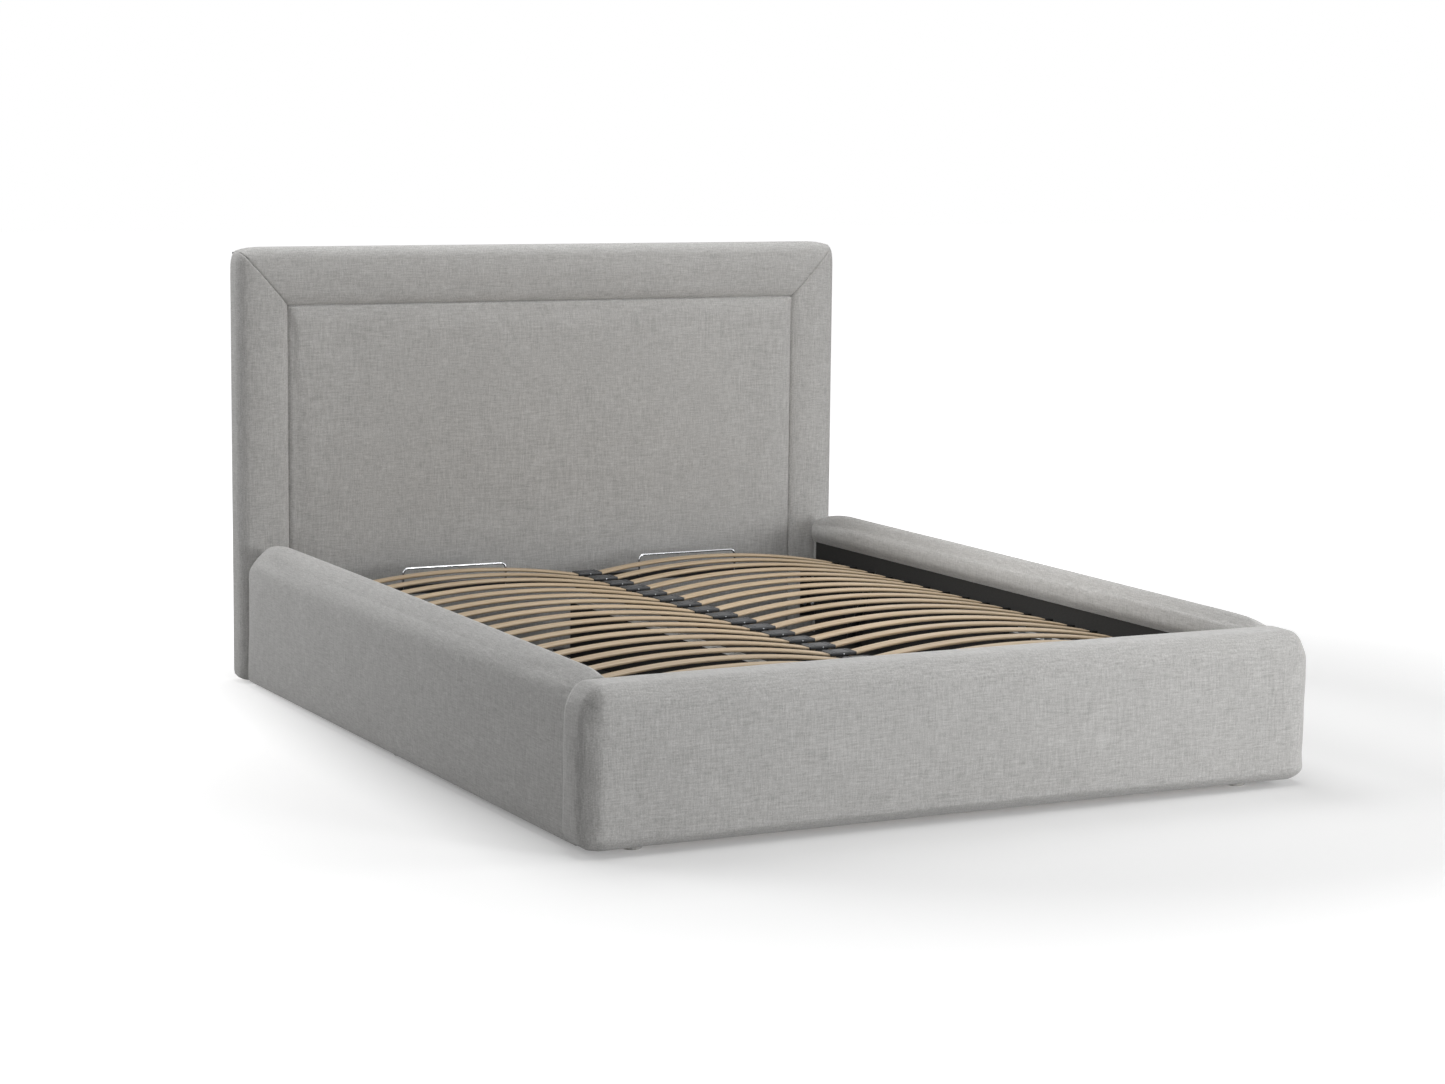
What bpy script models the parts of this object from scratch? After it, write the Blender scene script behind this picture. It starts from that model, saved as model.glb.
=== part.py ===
"""Upholstered storage bed whose slatted frame lifts at the foot end.

Metres, +Z up.  The origin is on the floor under the middle of the bed, +Y points to
the headboard and +X to the right side, seen by someone who stands at the foot end.
"""
import math

import bmesh
import bpy
from mathutils import Matrix, Vector

# Mattress that the bed is made for, and the play round it
MATTRESS_WIDTH = 1.600
MATTRESS_LENGTH = 2.000
SIDE_PLAY = 0.007
END_PLAY = 0.015

# Gaps: between touching pieces, and the overrun of every cutter
SEAT_GAP = 0.0003
OVERRUN = 0.020

# Glides under the bed
GLIDE_HEIGHT = 0.012
GLIDE_RADIUS = 0.022
GLIDE_EDGE = 0.002
GLIDE_NAIL = 0.006
GLIDE_NAIL_LENGTH = 0.025

# Headboard
HEAD_OVERHANG = 0.005
HEAD_HEIGHT = 1.121
HEAD_THICK = 0.090
HEAD_CORNER_ROUND = 0.037
HEAD_EDGE_ROUND = 0.032
HEAD_BACK_ROUND = 0.014
HEAD_FOOT_ROUND = 0.016
HEAD_BORDER_SIDE = 0.138
HEAD_BORDER_TOP = 0.148
HEAD_PANEL_RECESS = 0.004
HEAD_PANEL_ROUND = 0.016
HEAD_PANEL_CROWN = 0.004
HEAD_FOAM = 0.045
HEAD_WRAP = 0.016
HEAD_BACK_THICK = 0.003
HEAD_BACK_INSET = 0.014

# Side rails
RAIL_THICK = 0.064
RAIL_BULGE = 0.014
RAIL_HEIGHT = 0.3625
RAIL_TOP_ROUND = 0.066
RAIL_OUTER_ROUND = 0.050
RAIL_INNER_ROUND = 0.013
RAIL_HEAD_ROUND = 0.028
RAIL_FOOT_ROUND = 0.006
RAIL_CROWN = 0.004
RAIL_LIP = 0.010
RAIL_CORE_THICK = 0.025
RAIL_CORE_HEIGHT = 0.280
RAIL_INNER_PAD = 0.010
CORE_END_SETBACK = 0.045

# Footboard
FOOT_OVERHANG = 0.022
FOOT_THICK = 0.143
FOOT_HEIGHT = 0.345
FOOT_FRONT_CROWN = 0.009
FOOT_SIDE_CROWN = 0.006
FOOT_TOP_CROWN = 0.004
FOOT_CORNER_ROUND = 0.094
FOOT_BOTTOM_ROUND = 0.034
FOOT_FRONT_ROUND = 0.042
FOOT_BACK_ROUND = 0.050
FOOT_CORE_THICK = 0.060
FOOT_CORE_HEIGHT = 0.270
FOOT_BACK_PAD = 0.030

# Black lining of the storage space
LINING_THICK = 0.003
LINING_TOP = 0.292
LINING_SETBACK = 0.036

# Floor of the storage space and its bearers
BEARER_HEIGHT = 0.018
BEARER_DEPTH = 0.060
BEARER_END_DISTANCE = 0.420
FLOOR_THICK = 0.005
FLOOR_PLAY = 0.002

# Board that divides the storage space
DIVIDER_THICK = 0.016
DIVIDER_FRAME_SPACE = 0.037
DIVIDER_TUBE_SPACE = 0.005

# Corner brackets that join rails to headboard and footboard
BRACKET_LEG = 0.033
BRACKET_WALL = 0.003
BRACKET_BOTTOM = 0.080
BRACKET_HEIGHT = 0.150

# Lifting frame of rectangular steel tube
TUBE_WALL = 0.0015
TUBE_HEIGHT = 0.024
TUBE_OVER_HINGE = 0.009
SIDE_TUBE_WIDTH = 0.025
SIDE_TUBE_SPACE = 0.047
END_TUBE_WIDTH = 0.030
HEAD_TUBE_SPACE = 0.115
FOOT_TUBE_SPACE = 0.034
CENTRE_TUBE_WIDTH = 0.040

# Sprung slats in two columns, and their holders
SLATS_PER_COLUMN = 18
SLAT_WIDTH = 0.038
SLAT_THICK = 0.0065
SLAT_CROWN = 0.0415
SLAT_STEPS = 8
SLAT_END_SPACE = 0.014
FIRST_SLAT_SPACE = 0.266
LAST_SLAT_SPACE = 0.0442
HOLDER_WIDTH = 0.046
HOLDER_FLOOR = 0.0022
HOLDER_GRIP = 0.016
HOLDER_STOP = 0.003
HOLDER_CENTRE_HALF = 0.034
HOLDER_CENTRE_HEIGHT = 0.025
HOLDER_CHAMFER = 0.002

# Wire stops that keep the mattress from sliding to the head end
STOP_WIDTH = 0.290
STOP_CENTRE = 0.341
STOP_RISE = 0.048
STOP_WIRE = 0.006
STOP_BEND = 0.012
STOP_BEND_STEPS = 4

# Lift mechanism: the hinge of the frame and a gas strut on each side
HINGE_HEAD_SPACE = 0.176
HINGE_HEIGHT = 0.225
LIFT_ANGLE = math.radians(38.0)
STRUT_UPPER_REACH = 0.220
STRUT_UPPER_RISE = 0.020
STRUT_LOWER_REACH = 0.100
STRUT_FLOOR_SPACE = 0.0194
STRUT_SWING_RATIO = 0.5662
STRUT_OFFSET = 0.022
PLATE_WALL = 0.003
PLATE_MARGIN = 0.022
PLATE_DROP = 0.0176
PIN_RADIUS = 0.006
PIN_HEAD_RADIUS = 0.009
PIN_HEAD_HEIGHT = 0.004
STUD_RIM = 0.002
PIN_PLAY = 0.0006
STUD_RADIUS = 0.005
SPACER_RADIUS = 0.010
CYLINDER_RADIUS = 0.011
CYLINDER_BORE = 0.0085
CYLINDER_START = 0.0085
CYLINDER_BASE = 0.012
ROD_RADIUS = 0.004
ROD_SHOWN = 0.0262
ROD_TAIL = 0.030
PISTON_RADIUS = 0.0062
PISTON_LENGTH = 0.008
EYE_RADIUS = 0.011
EYE_WIDTH = 0.012

# Rests that carry the closed frame
REST_LENGTH = 0.200
REST_MIDDLE = -0.215
REST_WALL = 0.003
REST_LEG = 0.050
BUFFER_HEIGHT = 0.022
BUFFER_RADIUS = 0.010
BUFFER_SPACING = 0.120

# Sizes that follow from the ones above
INNER_HALF = MATTRESS_WIDTH / 2 + SIDE_PLAY
INNER_LENGTH = MATTRESS_LENGTH + 2 * END_PLAY
HEAD_WIDTH = 2 * (INNER_HALF + RAIL_THICK + HEAD_OVERHANG)
FOOT_WIDTH = 2 * (INNER_HALF + RAIL_THICK + FOOT_OVERHANG)
SIDE_TUBE_OUTER = INNER_HALF - SIDE_TUBE_SPACE
TOTAL_LENGTH = HEAD_THICK + INNER_LENGTH + FOOT_THICK + FOOT_FRONT_CROWN
BACK_Y = TOTAL_LENGTH / 2
HEAD_FACE = BACK_Y - HEAD_THICK
FOOT_FACE = HEAD_FACE - INNER_LENGTH
BASE = GLIDE_HEIGHT + SEAT_GAP
HEAD_TOP = BASE + HEAD_HEIGHT
PANEL_HALF = HEAD_WIDTH / 2 - HEAD_BORDER_SIDE
PANEL_TOP = HEAD_TOP - HEAD_BORDER_TOP
CORE_FRONT = HEAD_FACE + HEAD_FOAM
CORE_BACK = BACK_Y - HEAD_BACK_THICK - SEAT_GAP
LINING_FACE = INNER_HALF - SEAT_GAP - LINING_THICK
BEARER_TOP = BASE + BEARER_HEIGHT
FLOOR_TOP = BEARER_TOP + SEAT_GAP + FLOOR_THICK
LIP_BOTTOM = LINING_TOP + SEAT_GAP
TUBE_BOTTOM = HINGE_HEIGHT + TUBE_OVER_HINGE
TUBE_TOP = TUBE_BOTTOM + TUBE_HEIGHT
DIVIDER_TOP = TUBE_BOTTOM - DIVIDER_FRAME_SPACE
REST_TOP = TUBE_BOTTOM - BUFFER_HEIGHT
STOP_TOP = TUBE_TOP + STOP_RISE
STOP_BOTTOM = TUBE_TOP - TUBE_HEIGHT / 2
HOLDER_BOTTOM = TUBE_TOP + SEAT_GAP
SLAT_END_TOP = TUBE_TOP + HOLDER_FLOOR + SEAT_GAP + SLAT_THICK
HOLDER_TOP = HOLDER_BOTTOM + HOLDER_CENTRE_HEIGHT
SIDE_TUBE_INNER = SIDE_TUBE_OUTER - SIDE_TUBE_WIDTH
HEAD_TUBE_BACK = HEAD_FACE - HEAD_TUBE_SPACE
HEAD_TUBE_FRONT = HEAD_TUBE_BACK - END_TUBE_WIDTH
FOOT_TUBE_FRONT = FOOT_FACE + FOOT_TUBE_SPACE
FOOT_TUBE_BACK = FOOT_TUBE_FRONT + END_TUBE_WIDTH
HINGE_Y = HEAD_FACE - HINGE_HEAD_SPACE
UPPER_Y = HINGE_Y - STRUT_UPPER_REACH
UPPER_Z = HINGE_HEIGHT + STRUT_UPPER_RISE
LOWER_Y = HINGE_Y - STRUT_LOWER_REACH
LOWER_Z = FLOOR_TOP + STRUT_FLOOR_SPACE
STRUT_LENGTH = math.hypot(UPPER_Y - LOWER_Y, UPPER_Z - LOWER_Z)
STRUT_LEAN = math.atan2(LOWER_Y - UPPER_Y, UPPER_Z - LOWER_Z)
CYLINDER_LENGTH = STRUT_LENGTH - CYLINDER_START - ROD_SHOWN
BASE_PLATE_FACE = LINING_FACE - SEAT_GAP - PLATE_WALL
HINGE_PLATE_FACE = SIDE_TUBE_OUTER + SEAT_GAP + PLATE_WALL
STRUT_X = SIDE_TUBE_OUTER + STRUT_OFFSET
SLAT_START = HOLDER_CENTRE_HALF - HOLDER_GRIP
SLAT_END = SIDE_TUBE_OUTER - SLAT_END_SPACE
FIRST_SLAT = HEAD_FACE - FIRST_SLAT_SPACE
LAST_SLAT = FOOT_TUBE_BACK + LAST_SLAT_SPACE
SLAT_PITCH = (FIRST_SLAT - LAST_SLAT) / (SLATS_PER_COLUMN - 1)

SIDES = (("left", -1), ("right", 1))
ROUND_STEPS = 16
MERGE_DISTANCE = SEAT_GAP / 10
ON_END_SHARE = 0.999
FACING_SHARE = 0.5
SHARP_ANGLE = math.radians(35.0)

# Colours of the materials: red, green, blue, roughness, metallic
FINISHES = {
    "woven_fabric": (0.42, 0.41, 0.40, 0.95, 0.0),
    "particle_board": (0.46, 0.34, 0.21, 0.85, 0.0),
    "black_lining": (0.030, 0.030, 0.029, 0.90, 0.0),
    "birch_ply": (0.62, 0.49, 0.34, 0.55, 0.0),
    "black_steel": (0.020, 0.020, 0.022, 0.45, 0.6),
    "zinc_steel": (0.62, 0.63, 0.64, 0.30, 1.0),
}


def clear_scene():
    """Remove every object of the open file."""
    for obj in list(bpy.data.objects):
        bpy.data.objects.remove(obj, do_unlink=True)


def make_collection(name):
    """Return a new collection that is linked to the scene."""
    made = bpy.data.collections.new(name)
    bpy.context.scene.collection.children.link(made)
    return made


def make_materials():
    """Return one Principled material for each finish."""
    made = {}
    for name, (red, green, blue, rough, metal) in FINISHES.items():
        material = bpy.data.materials.new(name)
        material.use_nodes = True
        shader = material.node_tree.nodes["Principled BSDF"]
        shader.inputs["Base Color"].default_value = (red, green, blue, 1.0)
        shader.inputs["Roughness"].default_value = rough
        shader.inputs["Metallic"].default_value = metal
        made[name] = material
    return made


class Workshop:
    """Holds the collections, the materials and the axis on which new pieces ride."""

    def __init__(self):
        self.parts = make_collection("storage_bed")
        self.cutters = make_collection("cutters")
        self.materials = make_materials()
        self.axis = None

    def start_axis(self, name, place):
        """Put an empty on a joint's axis; the pieces made after it hang on it."""
        empty = bpy.data.objects.new(name, None)
        empty.location = place
        self.parts.objects.link(empty)
        self.axis = empty
        return empty

    def add(self, name, bm, finish, place=(0.0, 0.0, 0.0), turn=None, smooth=False):
        """Turn a bmesh into a named part with its finish, place and parent."""
        obj = self.place_object(name, bm, self.parts, place, turn, smooth)
        obj.data.materials.append(self.materials[finish])
        if self.axis is not None:
            obj.parent = self.axis
            obj.matrix_parent_inverse = Matrix.Translation(self.axis.location).inverted()
        return obj

    def tool(self, name, bm, place=(0.0, 0.0, 0.0), turn=None):
        """Turn a bmesh into a hidden cutter or a shape to be joined on."""
        obj = self.place_object(name, bm, self.cutters, place, turn, False)
        obj.hide_render = True
        obj.display_type = "WIRE"
        return obj

    @staticmethod
    def place_object(name, bm, collection, place, turn, smooth):
        """Make the object itself and free the bmesh."""
        bmesh.ops.recalc_face_normals(bm, faces=bm.faces[:])
        mesh = bpy.data.meshes.new(name)
        bm.to_mesh(mesh)
        bm.free()
        if smooth:
            mesh.shade_smooth()
            mesh.set_sharp_from_angle(angle=SHARP_ANGLE)
        obj = bpy.data.objects.new(name, mesh)
        obj.location = place
        if turn is not None:
            obj.rotation_euler = turn
        collection.objects.link(obj)
        return obj


def join_or_cut(obj, other, operation="DIFFERENCE"):
    """Add an exact Boolean to a part."""
    modifier = obj.modifiers.new(operation.lower(), "BOOLEAN")
    modifier.operation = operation
    modifier.solver = "EXACT"
    modifier.object = other


def box_mesh(lo, hi, bm=None):
    """Add a box between two corners to a bmesh."""
    bm = bm or bmesh.new()
    lo = Vector(lo)
    hi = Vector(hi)
    size = hi - lo
    place = Matrix.Translation((lo + hi) / 2) @ Matrix.Diagonal((*size, 1.0))
    bmesh.ops.create_cube(bm, size=1.0, matrix=place)
    return bm


def span(sign, near, far):
    """Return the two x values of a piece on the left or the right side, in order."""
    return tuple(sorted((sign * near, sign * far)))


def side_box(shop, name, sign, inner, outer, y_range, z_range, finish):
    """Make a plain board or plate on one side of the bed, placed at its middle."""
    x_range = span(sign, inner, outer)
    lo = Vector((x_range[0], y_range[0], z_range[0]))
    hi = Vector((x_range[1], y_range[1], z_range[1]))
    middle = (lo + hi) / 2
    return shop.add(name, box_mesh(lo - middle, hi - middle), finish, place=middle)


def board(shop, name, lo, hi, finish):
    """Make a plain board, placed at its middle."""
    middle = (Vector(lo) + Vector(hi)) / 2
    return shop.add(name, box_mesh(Vector(lo) - middle, Vector(hi) - middle), finish, place=middle)


def round_cuts(start, inward, size, steps):
    """Return the cuts of one round, spaced so that they divide its arc evenly."""
    cuts = []
    for step in range(1, steps + 1):
        share = math.tan(math.pi / 4 * (1 - step / steps))
        cuts.append(start + inward * size * (1 - share))
    return cuts


def cut_lines(lo, hi, round_lo, round_hi, fillet, steps, flat_steps):
    """Return where a pillow's cage is cut along one axis: fine in the rounds, even between."""
    wanted = []
    for start, inward, size in ((lo, 1, round_lo), (hi, -1, round_hi)):
        if size > 0:
            wanted += round_cuts(start, inward, size, steps)
        if min(fillet, size) > 0:
            wanted += round_cuts(start, inward, min(fillet, size), steps - 1)
    first = lo + round_lo
    last = hi - round_hi
    wanted += [first + (last - first) * step / flat_steps for step in range(1, flat_steps)]
    lines = []
    for line in sorted(wanted):
        if line - (lines[-1] if lines else lo) > SEAT_GAP * steps and hi - line > SEAT_GAP:
            lines.append(line)
    return lines


def pillow_mesh(lo, hi, round_lo, round_hi, crown_lo, crown_hi, steps, flat_steps):
    """Return a padded block, made from a cut cube whose points are moved on to its form.

    Seen along y it is a rectangle whose corners are quarter ellipses with the rounds in x
    and z as half axes.  The edges of its faces in y are quarter circles with the rounds in
    y.  A face is pushed out by its crown times a parabola across the face.
    """
    bm = box_mesh(lo, hi)
    fillet = max(round_lo[1], round_hi[1])
    for axis in range(3):
        normal = Vector((0.0, 0.0, 0.0))
        normal[axis] = 1.0
        for line in cut_lines(lo[axis], hi[axis], round_lo[axis], round_hi[axis],
                              0.0 if axis == 1 else fillet, steps, flat_steps[axis]):
            geometry = bm.verts[:] + bm.edges[:] + bm.faces[:]
            bmesh.ops.bisect_plane(bm, geom=geometry, dist=MERGE_DISTANCE,
                                   plane_co=normal * line, plane_no=normal)
    for vert in bm.verts:
        vert.co = pillow_point(vert.co, lo, hi, round_lo, round_hi, crown_lo, crown_hi)
    return bm


def square_to_circle(first, second):
    """Return the factor that takes a point of a unit square to the unit circle."""
    length = math.hypot(first, second)
    return max(abs(first), abs(second)) / length if length > 0 else 1.0


def pillow_point(point, lo, hi, round_lo, round_hi, crown_lo, crown_hi):
    """Move one point of the cut cube on to the padded form.

    The outline is rounded first, in x and z, and then the edge, with the depth from the
    outline and the place in y.
    """
    core = Vector(point)
    radii = Vector((0.0, 0.0, 0.0))
    reach = Vector((0.0, 0.0, 0.0))
    across = Vector((0.0, 0.0, 0.0))
    for axis in range(3):
        core[axis] = min(max(point[axis], lo[axis] + round_lo[axis]), hi[axis] - round_hi[axis])
        offset = point[axis] - core[axis]
        radii[axis] = round_lo[axis] if offset < 0 else round_hi[axis]
        reach[axis] = offset / radii[axis] if radii[axis] > 0 else 0.0
        across[axis] = (2 * point[axis] - lo[axis] - hi[axis]) / (hi[axis] - lo[axis])
    outline = square_to_circle(reach.x, reach.z)
    arm = Vector((radii.x * reach.x * outline, 0.0, radii.z * reach.z * outline))
    outer = max(abs(reach.x), abs(reach.z))
    placed = Vector(point)
    depth = 1.0
    if outer > 0:
        span_here = arm.length / outer
        fillet = min(radii.y, span_here)
        edge = max(0.0, 1 - (span_here - arm.length) / fillet) if fillet > 0 else 0.0
        depth = square_to_circle(edge, reach.y)
        arm *= 1 - fillet * edge * (1 - depth) / arm.length
        placed.x = core.x + arm.x if radii.x > 0 else point.x
        placed.z = core.z + arm.z if radii.z > 0 else point.z
    placed.y = core.y + (point.y - core.y) * depth
    for axis in range(3):
        others = [other for other in range(3) if other != axis]
        swell = (1 - across[others[0]] ** 2) * (1 - across[others[1]] ** 2)
        crown = crown_lo[axis] if across[axis] < 0 else crown_hi[axis]
        direction = reach[axis]
        if radii[axis] == 0 and abs(across[axis]) > ON_END_SHARE:
            direction = across[axis]
        placed[axis] += crown * direction * swell
    return placed


def trim(bm, point, normal):
    """Cut a closed bmesh with a plane, keep the side behind it and close the cut."""
    geometry = bm.verts[:] + bm.edges[:] + bm.faces[:]
    cut = bmesh.ops.bisect_plane(bm, geom=geometry, dist=MERGE_DISTANCE, plane_co=point,
                                 plane_no=normal, clear_outer=True)
    rim = [item for item in cut["geom_cut"] if isinstance(item, bmesh.types.BMEdge)]
    bmesh.ops.edgeloop_fill(bm, edges=rim)


def rod_mesh(radius, length, bm=None, place=None, steps=ROUND_STEPS):
    """Add a round bar along the local Z axis, standing on zero."""
    bm = bm or bmesh.new()
    matrix = (place or Matrix()) @ Matrix.Translation((0.0, 0.0, length / 2))
    bmesh.ops.create_cone(bm, cap_ends=True, segments=steps, radius1=radius, radius2=radius,
                          depth=length, matrix=matrix)
    return bm


def turned(shop, name, profile, finish, place, turn, steps=ROUND_STEPS, as_tool=False):
    """Turn a profile of (radius, height) points round the local Z axis."""
    bm = bmesh.new()
    verts = [bm.verts.new((radius, 0.0, height)) for radius, height in profile]
    for first, second in zip(verts, verts[1:]):
        bm.edges.new((first, second))
    if as_tool:
        obj = shop.tool(name, bm, place, turn)
    else:
        obj = shop.add(name, bm, finish, place, turn)
    screw = obj.modifiers.new("turn", "SCREW")
    screw.steps = steps
    screw.render_steps = steps
    screw.use_merge_vertices = True
    screw.merge_threshold = MERGE_DISTANCE
    screw.use_smooth_shade = True
    return obj


def tube(shop, name, lo, hi, axis, finish):
    """Make a rectangular steel tube with open ends: four walls with Solidify."""
    middle = (Vector(lo) + Vector(hi)) / 2
    bm = box_mesh(Vector(lo) - middle, Vector(hi) - middle)
    bmesh.ops.recalc_face_normals(bm, faces=bm.faces[:])
    ends = [face for face in bm.faces if abs(face.normal[axis]) > FACING_SHARE]
    bmesh.ops.delete(bm, geom=ends, context="FACES_ONLY")
    obj = shop.add(name, bm, finish, place=middle)
    wall = obj.modifiers.new("wall", "SOLIDIFY")
    wall.thickness = TUBE_WALL
    wall.offset = -1.0
    wall.use_even_offset = True
    return obj


def make_headboard(shop):
    """Board, three padded borders that meet in mitred seams, padded panel and back cover."""
    half = HEAD_WIDTH / 2
    core_half = half - HEAD_WRAP
    core_top = HEAD_TOP - HEAD_WRAP
    core = board(shop, "headboard_core", (-core_half, CORE_FRONT, BASE),
                 (core_half, CORE_BACK, core_top), "particle_board")
    glide_y = (CORE_FRONT + CORE_BACK) / 2
    glide_x = core_half - 2 * GLIDE_RADIUS
    add_glides(shop, core, ((-glide_x, glide_y), (glide_x, glide_y)), GLIDE_NAIL_LENGTH)
    cutter = shop.tool("headboard_core_space", box_mesh(
        (-core_half - SEAT_GAP, CORE_FRONT - SEAT_GAP, BASE - OVERRUN),
        (core_half + SEAT_GAP, BACK_Y + OVERRUN, core_top + SEAT_GAP)))
    corner = Vector((half, 0.0, HEAD_TOP))
    inner = Vector((PANEL_HALF, 0.0, PANEL_TOP))
    along = (corner - inner).normalized()
    mitre = Vector((along.z, 0.0, -along.x))
    for name in ("left", "top", "right"):
        bm = border_mesh()
        if name == "top":
            trim(bm, Vector((0.0, 0.0, PANEL_TOP + SEAT_GAP)), Vector((0.0, 0.0, -1.0)))
            trim(bm, inner - mitre * SEAT_GAP / 2, mitre)
            flipped = Vector((-mitre.x, 0.0, mitre.z))
            trim(bm, Vector((-inner.x, 0.0, inner.z)) - flipped * SEAT_GAP / 2, flipped)
        else:
            sign = -1 if name == "left" else 1
            outward = Vector((sign * mitre.x, 0.0, mitre.z))
            place = Vector((sign * inner.x, 0.0, inner.z)) + outward * SEAT_GAP / 2
            trim(bm, Vector((sign * (PANEL_HALF + SEAT_GAP), 0.0, 0.0)),
                 Vector((-sign, 0.0, 0.0)))
            trim(bm, place, -outward)
        pad = shop.add("headboard_pad_" + name, bm, "woven_fabric")
        join_or_cut(pad, cutter)
    front = HEAD_FACE + HEAD_PANEL_RECESS
    edge = HEAD_PANEL_ROUND
    bm = pillow_mesh((-PANEL_HALF, front, BASE), (PANEL_HALF, CORE_FRONT - SEAT_GAP, PANEL_TOP),
                     (edge, edge, 0.0), (edge, 0.0, edge), (0.0, HEAD_PANEL_CROWN, 0.0),
                     (0.0, 0.0, 0.0), 2, (6, 1, 4))
    shop.add("headboard_panel", bm, "woven_fabric")
    board(shop, "headboard_back",
          (-half + HEAD_BACK_INSET, BACK_Y - HEAD_BACK_THICK, BASE + HEAD_BACK_INSET),
          (half - HEAD_BACK_INSET, BACK_Y, HEAD_TOP - HEAD_BACK_INSET), "black_lining")


def border_mesh():
    """Return the whole padded front of the headboard, from which the borders are cut."""
    half = HEAD_WIDTH / 2
    corner = HEAD_CORNER_ROUND
    return pillow_mesh((-half, HEAD_FACE, BASE), (half, CORE_BACK, HEAD_TOP),
                       (corner, HEAD_EDGE_ROUND, HEAD_FOOT_ROUND),
                       (corner, HEAD_BACK_ROUND, corner),
                       (0.0, 0.0, 0.0), (0.0, 0.0, 0.0), 3, (1, 1, 1))


def make_rails(shop):
    """Board and padded cover of each side rail."""
    for side, sign in SIDES:
        core_inner = INNER_HALF + RAIL_INNER_PAD
        core_outer = core_inner + RAIL_CORE_THICK
        core_y = (FOOT_FACE + CORE_END_SETBACK, HEAD_FACE - CORE_END_SETBACK)
        core_top = BASE + RAIL_CORE_HEIGHT
        core = side_box(shop, "rail_core_" + side, sign, core_inner, core_outer, core_y,
                        (BASE, core_top), "particle_board")
        glide = (sign * (core_inner + core_outer) / 2, (core_y[0] + core_y[1]) / 2)
        add_glides(shop, core, (glide,), GLIDE_NAIL_LENGTH)
        near, far = span(sign, core_inner - SEAT_GAP, core_outer + SEAT_GAP)
        cutter = shop.tool("rail_core_space_" + side, box_mesh(
            (near, core_y[0] - SEAT_GAP, BASE - OVERRUN),
            (far, core_y[1] + SEAT_GAP, core_top + SEAT_GAP)))
        bm = pillow_mesh((INNER_HALF - RAIL_LIP, FOOT_FACE + SEAT_GAP, BASE),
                         (INNER_HALF + RAIL_THICK, HEAD_FACE - SEAT_GAP, BASE + RAIL_HEIGHT),
                         (RAIL_INNER_ROUND, RAIL_FOOT_ROUND, 0.0),
                         (RAIL_OUTER_ROUND, RAIL_HEAD_ROUND, RAIL_TOP_ROUND),
                         (0.0, 0.0, 0.0), (RAIL_BULGE, 0.0, RAIL_CROWN), 3, (1, 8, 3))
        if sign < 0:
            bmesh.ops.scale(bm, vec=(sign, 1.0, 1.0), verts=bm.verts[:])
        cover = shop.add("rail_cover_" + side, bm, "woven_fabric")
        x_lo, x_hi = span(sign, INNER_HALF - RAIL_LIP - OVERRUN, INNER_HALF)
        join_or_cut(cover, shop.tool("below_lip_" + side, box_mesh(
            (x_lo, FOOT_FACE - OVERRUN, BASE - OVERRUN),
            (x_hi, HEAD_FACE + OVERRUN, LIP_BOTTOM))))
        join_or_cut(cover, cutter)


def make_footboard(shop):
    """Box core and thick padded cover of the footboard."""
    back = FOOT_FACE
    front = back - FOOT_THICK
    core_back = back - FOOT_BACK_PAD
    core_front = core_back - FOOT_CORE_THICK
    core_half = FOOT_WIDTH / 2 - FOOT_CORNER_ROUND
    core_top = BASE + FOOT_CORE_HEIGHT
    core = board(shop, "footboard_core", (-core_half, core_front, BASE),
                 (core_half, core_back, core_top), "particle_board")
    glide_y = (core_front + core_back) / 2
    glide_x = core_half - 2 * GLIDE_RADIUS
    add_glides(shop, core, ((-glide_x, glide_y), (glide_x, glide_y)), GLIDE_NAIL_LENGTH)
    cutter = shop.tool("footboard_core_space", box_mesh(
        (-core_half - SEAT_GAP, core_front - SEAT_GAP, BASE - OVERRUN),
        (core_half + SEAT_GAP, core_back + SEAT_GAP, core_top + SEAT_GAP)))
    half = FOOT_WIDTH / 2
    bm = pillow_mesh((-half, front, BASE), (half, back, BASE + FOOT_HEIGHT),
                     (FOOT_CORNER_ROUND, FOOT_FRONT_ROUND, FOOT_BOTTOM_ROUND),
                     (FOOT_CORNER_ROUND, FOOT_BACK_ROUND, FOOT_CORNER_ROUND),
                     (FOOT_SIDE_CROWN, FOOT_FRONT_CROWN, 0.0),
                     (FOOT_SIDE_CROWN, 0.0, FOOT_TOP_CROWN), 3, (8, 1, 3))
    cover = shop.add("footboard_cover", bm, "woven_fabric")
    join_or_cut(cover, cutter)


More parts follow.
